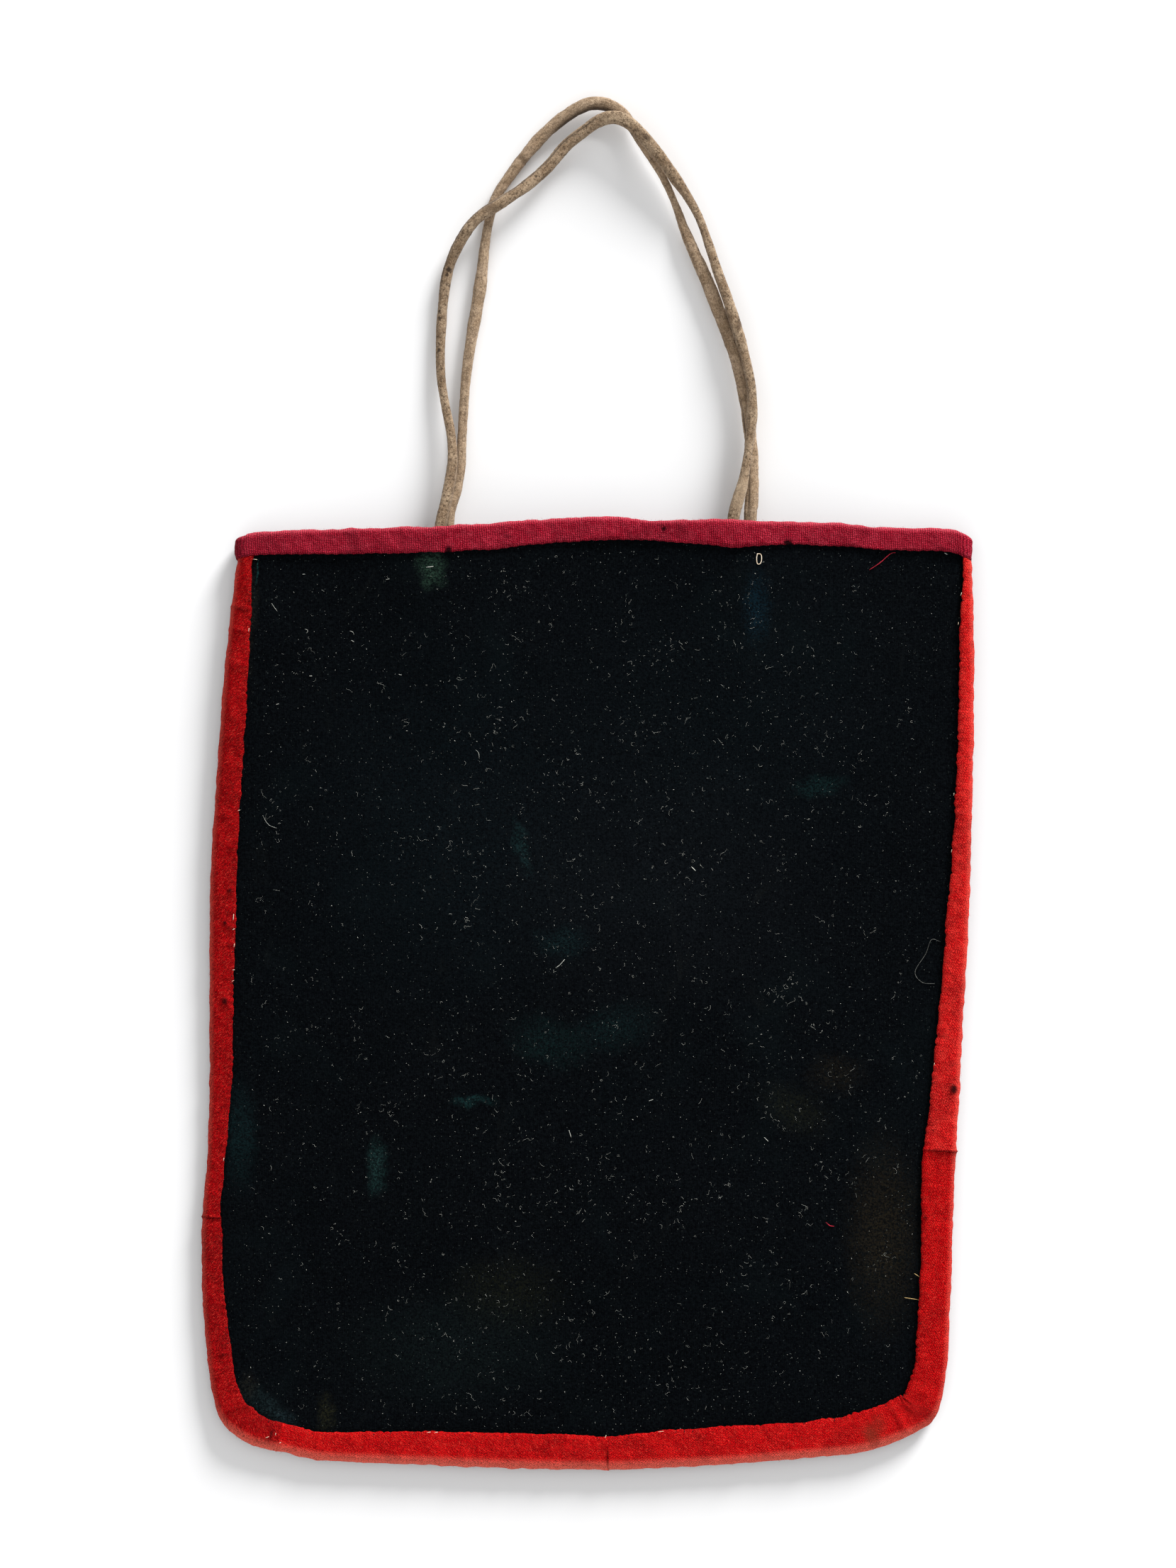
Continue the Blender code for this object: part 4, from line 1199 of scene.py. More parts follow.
        # Painted highlight: the rim mask lightens the outer edge, most along the bottom.
        low = smoothstep((-at[:, 1] / form.half_length - 0.84) / 0.12)[:, None]
        reach = self.side_rim_light + (self.bottom_rim_light - self.side_rim_light) * low
        rim = (0.30 + 0.70 * low) * (1 - smoothstep(sections[..., 0] / reach - 0.15)) * outside
        covered = smoothstep((flat[..., 1] - form.crimson_edge(flat[..., 0]) + 0.0004) / 0.0016)
        height = sections[..., 1] - 0.0009 * covered * outside * upper
        places = np.concatenate([flat, np.maximum(height, 0.00002)[..., None]], axis=-1)
        places[:, -1] = places[:, 0]
        piece = shaped_grid(self.node.replace("binding", "red_wool"), places, cloth, Wrap.TUBE,
                            {"hole": hole * outside, "rim": rim})
        return show(piece, self.finish.material(effects), "red_wool", self.node)


@dataclass
class RedBinding:
    """The red wool round the sides and the bottom, in the five strips that its joins show."""

    form: BagForm
    lap: float = 0.00015
    under_crimson: float = 0.0032

    def strips(self) -> list[RedStrip]:
        """The strips in order round the bag.

        Returns:
            Five strips, each with its own cloth.
        """
        form = self.form
        joins = [form.rim_place(*spot(px, py)) for px, py, _ in RED_JOINS]
        depths = [0.0] + [depth for _, _, depth in RED_JOINS] + [0.0]
        starts = [-self.under_crimson] + [j - self.lap for j in joins]
        ends = [j + self.lap for j in joins] + [form.rim_length + self.under_crimson]
        # The left strips are darker and the right one lighter, partly the strips' own colour and partly painted shade
        # and light: the left side faces away from the key light, the right side towards it.
        left = dict(mid=screen(148, 0, 6), light=screen(204, 18, 22), dark=screen(40, 0, 3), fuzzy=0.60)
        bottom = dict(mid=screen(182, 2, 9), light=screen(230, 30, 28), dark=screen(50, 0, 4), fuzzy=0.60)
        right = dict(mid=screen(202, 14, 18), light=screen(242, 64, 56), dark=screen(70, 2, 8), fuzzy=0.70)
        brown = (Mark((1229, 2022), (10, 14), screen(112, 44, 30), 0.70, 0.8, -20),
                 Mark((1240, 2006), (7, 12), screen(120, 40, 28), 0.45, 0.9, -30),
                 Mark((1300, 1990), (26, 12), screen(110, 20, 18), 0.35, 0.9, 30))
        finishes = (
            WoolFinish("red_wool_left_upper", pitch=0.00074, twill=0.8, felting=0.62, **left),
            WoolFinish("red_wool_left_lower", pitch=0.00074, twill=0.8, felting=0.62, **left),
            WoolFinish("red_wool_bottom_left", pitch=0.00076, twill=0.9, felting=0.48, **bottom),
            WoolFinish("red_wool_bottom_right", pitch=0.00078, twill=0.95, felting=0.40, marks=brown, **bottom),
            WoolFinish("red_wool_right_upper", pitch=0.00080, twill=0.95, felting=0.42, **right),
        )
        names = ("left_upper", "left_lower", "bottom_left", "bottom_right", "right_upper")
        scallops = (0.00030, 0.00030, 0.00036, 0.00040, 0.00040)
        return [RedStrip(form, f"binding_{name}", start, end, finish, joins=(depths[k], depths[k + 1]),
                         scallop=scallop, inner_shade=0.25 if k < 2 else 0.12, seed=20 + 3 * k)
                for k, (name, start, end, finish, scallop) in enumerate(zip(names, starts, ends, finishes, scallops))]

    def build(self, effects: Effects) -> list[bpy.types.Object]:
        """Build the five strips."""
        return [strip.build(effects) for strip in self.strips()]


@dataclass
class MouthBinding:
    """The crimson wool, one ring folded over the rim of the open mouth."""

    form: BagForm
    step: float = 0.0008
    # Its rim colour is the painted highlight along the crest.
    finish: WoolFinish = WoolFinish(
        "crimson_wool", screen(152, 8, 34), screen(206, 56, 78), screen(34, 0, 8), pitch=0.00070, felting=0.14,
        slant=0.04, rim=screen(236, 96, 112), fuzz=screen(214, 84, 100), fuzzy=0.5, marks=(Mark((1111, 769), (8, 3.5), screen(24, 4, 8), 0.95, 0.25, 25),
                           Mark((330, 775), (16, 30), screen(70, 6, 16), 0.55, 0.9),
                           Mark((634, 779), (5, 6), screen(40, 4, 12), 0.9, 0.4),
                           Mark((936, 748), (3, 3), screen(50, 4, 14), 0.8, 0.4)))
    dents: tuple[Pucker, ...] = (
        Pucker((1111, 768), 0.0014, 0.0009, 0.0006, 0.5), Pucker((634, 780), 0.0009, 0.0013, 0.0006, 0.9),
        Pucker((720, 755), 0.0011, 0.0009, -0.0005), Pucker((936, 748), 0.0006, 0.0006, 0.0004, 0.6),
        Pucker((470, 770), 0.0040, 0.0026, 0.0002), Pucker((830, 752), 0.0050, 0.0022, 0.0002),
        Pucker((1230, 768), 0.0045, 0.0026, 0.0002), Pucker((590, 757), 0.0020, 0.0014, -0.0003),
    )

    def stations(self) -> tuple[np.ndarray, np.ndarray]:
        """The middle of the panels' edges round the mouth.

        Returns:
            Rows of x and z, and the directions out of the wall there.
        """
        form = self.form
        low = form.front_bottom + form.panel / 2
        radius = form.lip_radius
        left, right = form.mouth[0, 0] + form.mouth_end, form.mouth[-1, 0] - form.mouth_end
        across = np.linspace(left, right, int((right - left) / self.step))
        height = form.top(across, np.full(len(across), form.half_length)) - form.panel / 2
        height[0] = height[-1] = low + 2 * radius
        upper = np.stack([across, height], axis=1)
        turn = np.linspace(math.pi / 2, -math.pi / 2, 14)[1:-1]
        corner = np.stack([right + radius * np.cos(turn), low + radius + radius * np.sin(turn)], axis=1)
        lower = np.stack([across[::-2], np.full(len(across[::-2]), low)], axis=1)
        other = np.stack([left - radius * np.cos(turn), low + radius - radius * np.sin(turn)], axis=1)
        at = np.vstack([upper, corner, lower, other])
        ahead = np.roll(at, -1, axis=0) - np.roll(at, 1, axis=0)
        out = np.stack([-ahead[:, 1], ahead[:, 0]], axis=1)
        return at, out / np.linalg.norm(out, axis=1)[:, None]

    def build(self, effects: Effects) -> bpy.types.Object:
        """Fold the ring over the mouth's rim and dress it."""
        form = self.form
        at, out = self.stations()
        outer = form.panel / 2 + form.clear + form.wool
        inner = form.panel / 2 + form.clear + form.mouth_inner_wall
        channel = form.panel / 2 + form.clear
        fold, shift = (outer + inner) / 2, (outer - inner) / 2
        seen = np.interp(at[:, 0], *form.crimson_depths)
        upper = smoothstep(out[:, 1] + 0.6)
        legs = form.mouth_leg + (seen - form.mouth_leg) * upper
        run = reach_along(at)
        legs = legs + 0.00012 * np.cos(2 * math.pi * run / 0.0029) + 0.0001 * ripple(run[:, None], 0.012, 61)
        turn = np.linspace(0.0, math.pi, 16)
        roll = np.linspace(-math.pi, 0.0, 7)
        thin = form.wool
        sections = []
        for leg in legs:
            wall = np.linspace(-leg + thin / 2, -fold, 16)[:, None]
            press = 0.00034 * np.exp(-(wall + leg) / 0.0009)
            out_wall = np.hstack([outer - press, wall])
            crest = np.stack([shift + fold * np.cos(turn), -fold + fold * np.sin(turn)], axis=1)
            in_wall = np.array([[-inner, -4.5e-3], [-inner, -form.mouth_inner_leg]])
            back = np.array([[-channel, -form.mouth_inner_leg], [-channel, -fold]])
            dome = np.stack([channel * np.cos(turn[::-3]), -fold + channel * np.sin(turn[::-3])], axis=1)
            edge = np.stack([outer - press[0] - thin / 2 + thin / 2 * np.cos(roll), -leg + thin / 2
                             + thin / 2 * np.sin(roll)], axis=1)
            loop = np.vstack([out_wall, crest[1:], in_wall, back, dome[1:-1], [[channel, -fold]],
                              [[channel, -leg * 0.6]], edge])
            sections.append(loop)
        sections = np.array(sections)
        lengths = np.array([reach_along(loop) for loop in sections])
        cloth = np.stack([np.broadcast_to(run[:, None], lengths.shape), lengths], axis=-1)
        x = at[:, None, 0] + sections[..., 0] * out[:, None, 0]
        y = form.mouth_top(at[:, 0])[:, None] + sections[..., 1]
        z = at[:, None, 1] + sections[..., 0] * out[:, None, 1]
        outside = np.zeros(sections.shape[1])
        outside[1:26] = 1.0
        outside[26:32] = np.linspace(0.9, 0.1, 6)
        swell = 0.00013 * ripple(cloth, 0.007, 62) + 0.00006 * ripple(cloth, 0.0024, 63)
        swell = swell + 0.00016 * ripple(cloth, 0.022, 64)
        hole = np.zeros(lengths.shape)
        top_side = (out[:, None, 1] > 0.3) & (sections[..., 0] > 0)
        for dent in self.dents:
            px, py = spot(*dent.middle)
            share = np.exp(-((x - px) / dent.along) ** 2 - ((y - py) / dent.across) ** 2) * top_side
            swell = swell - dent.depth * share
            hole = np.maximum(hole, np.clip(share * 1.6 - 0.35, 0.0, 1.0) * dent.hole)
        swell = swell * outside
        # Painted highlight along the crest of the fold, in the rim mask.
        rim = 0.7 * smoothstep((sections[..., 1] + 0.0014) / 0.0014) * outside
        normal_across = np.where(sections[..., 1] > -fold, np.clip(sections[..., 0] / fold, -1, 1),
                                 np.sign(sections[..., 0]))
        x = x + swell * normal_across * out[:, None, 0]
        z = z + swell * normal_across * out[:, None, 1]
        y = y + swell * np.clip((sections[..., 1] + fold) / fold, 0, 1)
        places = np.stack([x, y, np.maximum(z, 0.00002)], axis=-1)
        places = np.concatenate([places, places[:, :1]], axis=1)
        cloth = np.concatenate([cloth, cloth[:, -1:] + (0.0, 0.0005)], axis=1)
        hole, rim = (np.concatenate([mask, mask[:, :1]], axis=1) for mask in (hole, rim))
        close = np.concatenate([cloth[:1, :, :1] + run[-1] + self.step, cloth[:1, :, 1:]], axis=-1)
        piece = shaped_grid("crimson_mouth", np.concatenate([places, places[:1]]), np.concatenate([cloth, close]),
                            Wrap.RING, {"hole": np.concatenate([hole, hole[:1]]),
                                        "rim": np.concatenate([rim, rim[:1]])})
        return show(piece, self.finish.material(effects), "crimson_wool", "mouth_binding")


STRAP_BACK_ROUTE = (
    (-0.0487, 0.1382, 0.0085), (-0.0474, 0.1515, 0.0085), (-0.0453, 0.1611, 0.0077),
    (-0.0437, 0.1714, 0.0062), (-0.0441, 0.1806, 0.0047), (-0.0460, 0.1903, 0.0033),
    (-0.0475, 0.2002, 0.0024), (-0.0476, 0.2116, 0.0021), (-0.0467, 0.2245, 0.0021),
    (-0.0450, 0.2346, 0.0028), (-0.0414, 0.2429, 0.0044), (-0.0361, 0.2502, 0.0058),
    (-0.0283, 0.2555, 0.0060), (-0.0205, 0.2608, 0.0052), (-0.0131, 0.2672, 0.0043),
    (-0.0070, 0.2743, 0.0042), (-0.0012, 0.2789, 0.0048), (0.0034, 0.2820, 0.0056),
    (0.0080, 0.2833, 0.0064), (0.0126, 0.2819, 0.0068), (0.0174, 0.2776, 0.0067),
    (0.0227, 0.2714, 0.0060), (0.0277, 0.2645, 0.0050), (0.0323, 0.2578, 0.0043),
    (0.0362, 0.2507, 0.0039), (0.0392, 0.2422, 0.0039), (0.0422, 0.2332, 0.0043),
    (0.0456, 0.2236, 0.0047), (0.0486, 0.2139, 0.0052), (0.0512, 0.2047, 0.0057),
    (0.0528, 0.1963, 0.0062), (0.0531, 0.1875, 0.0069), (0.0523, 0.1790, 0.0075),
    (0.0514, 0.1721, 0.0079), (0.0500, 0.1646, 0.0081), (0.0482, 0.1584, 0.0082),
    (0.0470, 0.1531, 0.0082), (0.0452, 0.1382, 0.0082),
)
STRAP_FRONT_ROUTE = (
    (-0.0440, 0.1382, 0.0058), (-0.0445, 0.1515, 0.0057), (-0.0437, 0.1577, 0.0050),
    (-0.0421, 0.1634, 0.0042), (-0.0409, 0.1714, 0.0032), (-0.0407, 0.1795, 0.0023),
    (-0.0398, 0.1944, 0.0019), (-0.0389, 0.2036, 0.0019), (-0.0375, 0.2128, 0.0019),
    (-0.0357, 0.2231, 0.0019), (-0.0343, 0.2328, 0.0019), (-0.0334, 0.2415, 0.0019),
    (-0.0320, 0.2500, 0.0019), (-0.0297, 0.2578, 0.0019), (-0.0251, 0.2649, 0.0021),
    (-0.0194, 0.2723, 0.0024), (-0.0136, 0.2787, 0.0027), (-0.0074, 0.2838, 0.0030),
    (-0.0021, 0.2870, 0.0032), (0.0027, 0.2882, 0.0032), (0.0075, 0.2872, 0.0030),
    (0.0117, 0.2843, 0.0028), (0.0146, 0.2801, 0.0027), (0.0183, 0.2739, 0.0026),
    (0.0229, 0.2668, 0.0025), (0.0261, 0.2608, 0.0023), (0.0289, 0.2541, 0.0021),
    (0.0314, 0.2472, 0.0020), (0.0349, 0.2390, 0.0020), (0.0388, 0.2303, 0.0021),
    (0.0422, 0.2215, 0.0022), (0.0454, 0.2135, 0.0024), (0.0484, 0.2045, 0.0026),
    (0.0505, 0.1951, 0.0028), (0.0521, 0.1855, 0.0030), (0.0528, 0.1772, 0.0035),
    (0.0532, 0.1685, 0.0042), (0.0530, 0.1600, 0.0050), (0.0525, 0.1531, 0.0055),
    (0.0521, 0.1382, 0.0058),
)


@dataclass
class Thong:
    """One hide thong: an uneven folded strip that runs out of the mouth and back in."""

    name: str
    node: str
    route: tuple[tuple[float, float, float], ...]
    widths: tuple[tuple[float, float, float], ...]   # pixel x, pixel y and seen width in pixels
    finish: HideFinish
    exit: tuple[float, float, float]
    length: float
    diameter: float = 0.0035
    groove: tuple[float, float] = (0.0, 0.0)          # lengths between which the folded edge shows
    shade_run: tuple[float, float] = (0.0, 0.0)            # lengths between which its right side gets painted shade
    rows: int = 560
    cols: int = 26
    thickest: float = 0.00172
    seed: int = 5

    def build(self, effects: Effects) -> bpy.types.Object:
        path = curve_through(np.array(self.route), self.rows)
        run = reach_along(path)
        given = [int(np.hypot(*(path[:, :2] - spot(px, py)).T).argmin()) for px, py, _ in self.widths]
        order = np.argsort(given)
        wide = np.interp(run, run[np.array(given)[order]],
                         np.array([row[2] for row in self.widths])[order] * PIXEL)
        kernel = np.hanning(15) / np.hanning(15).sum()
        wide = np.convolve(np.pad(wide, 7, mode="edge"), kernel, mode="valid")
        wide = wide * (1 + 0.03 * ripple(run[:, None], 0.011, self.seed))
        high = np.minimum(np.minimum(0.46 * wide, self.thickest), path[:, 2] - 0.00006)
        high = np.maximum(high, 0.0009)
        ahead = np.gradient(path, axis=0)
        ahead /= np.linalg.norm(ahead, axis=1)[:, None]
        side = np.cross(ahead, (0.0, 0.0, 1.0))
        side /= np.linalg.norm(side, axis=1)[:, None]
        above = np.cross(side, ahead)
        turn = np.linspace(0.0, 2 * math.pi, self.cols)
        box = 0.78
        cos = np.sign(np.cos(turn)) * np.abs(np.cos(turn)) ** box
        sin = np.sign(np.sin(turn)) * np.abs(np.sin(turn)) ** box
        cloth = np.stack(np.broadcast_arrays(run[:, None], turn[None, :] * self.diameter / 2), axis=-1)
        looped = np.stack(np.broadcast_arrays(run[:, None], np.cos(turn)[None, :] * 0.0017,
                                              np.sin(turn)[None, :] * 0.0017), axis=-1)
        rough = 1 + 0.018 * ripple(looped, 0.0050, self.seed + 1) + 0.026 * ripple(looped, 0.0014, self.seed + 2)
        twist = 1.1 * np.sin(run / 0.041 + self.seed) + 0.9
        lip = np.exp(-((np.angle(np.exp(1j * (turn[None, :] - math.pi / 2 - twist[:, None] + 0.9)))) / 0.17) ** 2)
        folded = smoothstep((run - self.groove[0]) / 0.006) * smoothstep((self.groove[1] - run) / 0.006)
        crease = lip * (0.25 + 0.75 * folded)[:, None]
        rough = rough - 0.13 * crease
        painted_shade = smoothstep((run - self.shade_run[0]) / 0.012) * smoothstep((self.shade_run[1] - run) / 0.012)
        below = np.exp(-((np.angle(np.exp(1j * (turn[None, :] - 0.45)))) / 0.95) ** 2)
        # Painted shade: darker in the fold's groove, and on one side where the other thong lies over it.
        dark = np.maximum(crease, painted_shade[:, None] * below)
        half = wide[:, None] / 2 * cos[None, :] * rough
        rise = high[:, None] * sin[None, :] * np.minimum(rough, 1.06)
        places = path[:, None, :] + half[..., None] * side[:, None, :] + rise[..., None] * above[:, None, :]
        places[..., 2] = np.maximum(places[..., 2], 0.00003)
        places[:, -1] = places[:, 0]
        piece = shaped_grid(self.name, places, cloth, Wrap.TUBE, {"painted_shade": dark})
        show(piece, self.finish.material(effects), "tan_hide", self.node)
        return piece


class ThreadWork:
    """Fine threads of one finish, gathered into one mesh."""

    def __init__(self, name: str, finish: bpy.types.Material, slot: str, sides: int = 0) -> None:
        """Start an empty bundle of threads."""
        self.name, self.finish, self.slot = name, finish, slot
        self.curve = bpy.data.curves.new(name, "CURVE")
        self.curve.dimensions = "3D"
        self.curve.bevel_depth = 1.0
        self.curve.bevel_resolution = sides
        self.curve.use_fill_caps = True

    def lay(self, points: Sequence[Sequence[float]], radius: float, taper: float = 1.0) -> None:
        """Add a thread.

        Args:
            points: its route.
            radius: its radius in metres.
            taper: the share of its radius at its ends.
        """
        spline = self.curve.splines.new("POLY")
        spline.points.add(len(points) - 1)
        for k, (knot, point) in enumerate(zip(spline.points, points)):
            knot.co = (*point, 1.0)
            away = abs(2 * k / max(len(points) - 1, 1) - 1)
            knot.radius = radius * (1 - (1 - taper) * away ** 3)

    def finish_piece(self) -> bpy.types.Object:
        """Make the bundle a mesh and dress it."""
        loose = bpy.data.objects.new(self.name + "_curve", self.curve)
        bpy.context.scene.collection.objects.link(loose)
        bpy.context.view_layer.update()
        mesh = bpy.data.meshes.new_from_object(loose.evaluated_get(bpy.context.evaluated_depsgraph_get()))
        bpy.data.objects.remove(loose)
        shell = bmesh.new()
        shell.from_mesh(mesh)
        bmesh.ops.remove_doubles(shell, verts=shell.verts[:], dist=1e-7)
        finish_mesh(mesh, shell)
        return show(bpy.data.objects.new(self.name, mesh), self.finish, self.slot)


@dataclass
class LooseFibres:
    """Lint, fuzz, stitches, a hair and straw ends, each where the photograph shows it."""

    form: BagForm
    curls: int = 1300
    flecks: int = 1900
    fuzz: int = 800
    seed: int = 77

    def on_bag(self, pixels: Sequence[Pixel], lift: float, points: int = 14) -> list[tuple[float, float, float]]:
        """A route on the velvet through points of the photograph.

        Args:
            pixels: the points.
            lift: height over the velvet.
            points: how many points the route has.

        Returns:
            The route.
        """
        flat = np.array([spot(*pixel) for pixel in pixels])
        flat = curve_through(flat, points) if len(flat) > 2 else evenly(flat, points)
        height = self.form.velvet(flat[:, 0], flat[:, 1]) + lift
        return [tuple(p) for p in np.column_stack([flat, height])]

    def scatter(self, random: np.random.Generator, count: int, margin: float) -> np.ndarray:
        """Places spread over the velvet, thicker in its middle band.

        Args:
            random: the seeded source.
            count: how many places.
            margin: least distance from the wool.

        Returns:
            Rows of x and y.
        """
        found = np.empty((0, 2))
        edge = Panel(self.form).outline()
        while len(found) < count:
            x = random.uniform(-0.12, 0.12, 600)
            y = random.uniform(-0.145, 0.145, 600)
            keep = random.uniform(0, 1, 600) < 0.45 + 0.55 * np.exp(-((x - 0.01) / 0.07) ** 2)
            some = np.stack([x, y], axis=1)[keep]
            some = some[Panel.depth(some, edge[::3]) > margin]
            found = np.vstack([found, some])
        return found[:count]

    def lint(self) -> None:
        """Curled white fibres and flecks on the velvet."""
        random = np.random.default_rng(self.seed)
        work = ThreadWork("lint", FibreFinish("lint", screen(214, 214, 204), screen(150, 156, 150)).material(),
                          "velvet")
        clumps = self.scatter(random, self.curls // 8, 0.016)
        for x, y in self.scatter(random, self.curls, 0.009):
            length = random.uniform(0.0006, 0.0024) * (1 + (random.uniform() < 0.06))
            heading, bend = random.uniform(0, 2 * math.pi), random.normal(0, 1.3)
            if random.uniform() < 0.5:
                x, y = clumps[random.integers(len(clumps))] + random.normal(0, 0.0028, 2)
            steps = 8
            flat = [(x, y)]
            for _ in range(steps):
                heading += bend * 2.2 / steps + random.normal(0, 0.75)
                x += math.cos(heading) * length / steps
                y += math.sin(heading) * length / steps
                flat.append((x, y))
            flat = np.array(flat)
            height = self.form.velvet(flat[:, 0], flat[:, 1]) + random.uniform(0.00003, 0.00012)
            work.lay(np.column_stack([flat, height]).tolist(), random.uniform(0.000008, 0.000022), 0.5)
        for x, y in self.scatter(random, self.flecks, 0.008):
            heading = random.uniform(0, math.pi)
            length = random.choice((0.00012, 0.0002, 0.0004), p=(0.6, 0.3, 0.1))
            flat = np.array([(x, y), (x + math.cos(heading) * length, y + math.sin(heading) * length)])
            height = self.form.velvet(flat[:, 0], flat[:, 1]) + 0.00004
            work.lay(np.column_stack([flat, height]).tolist(), random.uniform(0.000025, 0.00006))
        for pixels, radius in (
                (((784, 1364), (790, 1360), (797, 1352)), 0.00016), (((915, 1551), (921, 1549)), 0.00016),
                (((803, 1592), (806, 1602)), 0.00014), (((1077, 1602), (1083, 1608)), 0.00013),
                (((975, 1222), (981, 1228)), 0.00020), (((428, 811), (432, 811)), 0.00015),
                (((546, 819), (551, 818)), 0.00013), (((497, 904), (501, 906)), 0.00013),
                (((438, 954), (442, 954)), 0.00013), (((564, 952), (568, 953)), 0.00013),
                (((391, 994), (395, 993)), 0.00013), (((385, 852), (389, 858), (393, 863)), 0.00009),
                (((432, 888), (436, 890), (434, 894)), 0.00008), (((495, 891), (499, 892), (501, 896)), 0.00008),
                (((1331, 781), (1335, 783)), 0.00018), (((603, 802), (613, 801)), 0.00020),
                (((672, 1058), (676, 1062), (677, 1070)), 0.00009), (((372, 1150), (380, 1163), (392, 1168)), 0.00007)):
            work.lay(self.on_bag(pixels, 0.00006, 6), radius * 0.55, 0.6)
        work.finish_piece()

    def keepsakes(self) -> None:
        """The loop of thread, the crimson thread, the straw ends and the long hair."""
        cream = ThreadWork("cream_loop", self.cream, "velvet", 1)
        cream.lay(self.on_bag(((1067, 783), (1066, 790), (1067, 797), (1071, 797), (1073, 791), (1072, 784),
                               (1067, 783)), 0.0002, 22), 0.00013)
        straw = ThreadWork("straw_ends", FibreFinish("straw", screen(206, 178, 122), screen(150, 118, 70)).material(),
                           "velvet")
        for pixels in (((1275, 1829), (1288, 1831), (1297, 1833)), ((1289, 1795), (1297, 1800))):
            straw.lay(self.on_bag(pixels, 0.0004, 8), 0.00011, 0.5)
        straw.finish_piece()
        cream.finish_piece()
        crimson = ThreadWork("crimson_ends", FibreFinish("crimson_thread", screen(176, 22, 48),
                                                         screen(96, 4, 22)).material(), "crimson_wool", 1)
        crimson.lay(self.on_bag(((1225, 805), (1240, 795), (1255, 782), (1262, 781)), 0.0003, 16), 0.00014, 0.5)
        crimson.lay(self.on_bag(((1164, 1722), (1170, 1727), (1176, 1728)), 0.0003, 8), 0.00013, 0.5)
        crimson.finish_piece()
        hair = ThreadWork("long_hair", FibreFinish("hair", screen(120, 122, 116), screen(70, 72, 70)).material(),
                          "velvet")
        hair.lay(self.on_bag(((1326, 1328), (1313, 1325), (1305, 1345), (1290, 1370), (1300, 1385), (1318, 1387)),
                             0.0002, 40), 0.00006, 0.6)
        hair.finish_piece()

    def on_wool(self, run: float, inset: float, lift: float) -> tuple[float, float, float]:
        """A place on the red wool's upper face.

        Args:
            run: length along the rim.
            inset: distance in from the rim.
            lift: height over the wool.

        Returns:
            The place.
        """
        form = self.form
        at, into = form.rim_at(np.array([run]))
        radius = float(form.thick(at[:, 1])[0]) / 2
        q = at[0] + inset * into[0]
        if inset < radius:
            height = radius + math.sqrt(max(radius ** 2 - (radius - inset) ** 2, 0.0))
        else:
            height = float(form.top(q[:1], q[1:])[0]) + form.clear + form.wool
        return (float(q[0]), float(q[1]), height + lift)

    def stitches(self) -> None:
        """The overcast stitches along the wool's inner edge, dark, with some cream ones."""
        form = self.form
        random = np.random.default_rng(self.seed + 1)
        dark = ThreadWork("dark_stitches", FibreFinish("dark_thread", screen(70, 8, 12),
                                                       screen(24, 6, 10)).material(), "red_wool")
        pitch = 0.0026
        for k in range(4, int(form.rim_length / pitch) - 3):
            run = k * pitch
            width = float(form.red_width(np.array([run]))[0])
            lean = random.uniform(-0.0003, 0.0005)
            points = []
            for share in np.linspace(0.0, 1.0, 5):
                inset = width - 0.0011 + 0.0017 * share
                x, y, z = self.on_wool(run + lean * share, inset, 0.0)
                if inset > width - 0.0001:
                    z = form.over(x, y)[2] + 0.00008
                points.append((x, y, z - 0.00030 - 0.0003 * abs(2 * share - 1)))
            dark.lay(points, random.uniform(0.00008, 0.00013), 0.7)
        dark.finish_piece()
        cream = ThreadWork("cream_stitches", self.cream, "red_wool", 1)
        for px, py, turn, length, radius in (
                (353, 890, 80, 0.0011, 0.00012), (339, 1143, 20, 0.0008, 0.00011), (331, 1293, 85, 0.0020, 0.00012),
                (331, 1310, 30, 0.0008, 0.00011), (332, 1333, 80, 0.0011, 0.00012), (331, 1368, 10, 0.0008, 0.0001),
                (330, 1383, 20, 0.0008, 0.0001), (324, 1412, 60, 0.0007, 0.00012), (317, 1635, 80, 0.0009, 0.00011),
                (1354, 838, 70, 0.0010, 0.00012), (1350, 880, 80, 0.0008, 0.0001), (1344, 1120, 80, 0.0008, 0.0001),
                (1341, 1200, 80, 0.0009, 0.0001), (1317, 1500, 75, 0.0008, 0.0001), (1342, 1530, 40, 0.0014, 0.00011),
                (379, 2025, 20, 0.0015, 0.00013), (389, 2021, 75, 0.0013, 0.00011), (396, 2033, 30, 0.0010, 0.00011),
                (605, 2018, 5, 0.0012, 0.00010), (616, 2018, 5, 0.0010, 0.0001), (855, 2024, 70, 0.0010, 0.00012),
                (933, 2017, 5, 0.0018, 0.00010)):
            x, y = spot(px, py)
            run = form.rim_place(x, y)
            at, into = form.rim_at(np.array([run]))
            inset = float((np.array([x, y]) - at[0]) @ into[0])
            middle = np.array(self.on_wool(run, inset, 0.00002))
            way = np.array([math.cos(math.radians(turn)), math.sin(math.radians(turn)), 0.0])
            points = [tuple(middle + way * length * (s - 0.5) + (0, 0, 0.00022 * (1 - (2 * s - 1) ** 2) - 0.0001))
                      for s in np.linspace(0, 1, 6)]
            cream.lay(points, radius * 0.7, 0.7)
        for px, py, turn in ((350, 789, 0), (357, 790, 10), (362, 790, -10)):
            x, y, z = form.over(*spot(px, py), 0.0004)
            way = np.array([math.cos(math.radians(turn)), math.sin(math.radians(turn)), 0.0]) * 0.0006
            cream.lay([tuple(np.array([x, y, z]) - way), (x, y, z + 0.0001), tuple(np.array([x, y, z]) + way)], 0.00013)
        cream.finish_piece()

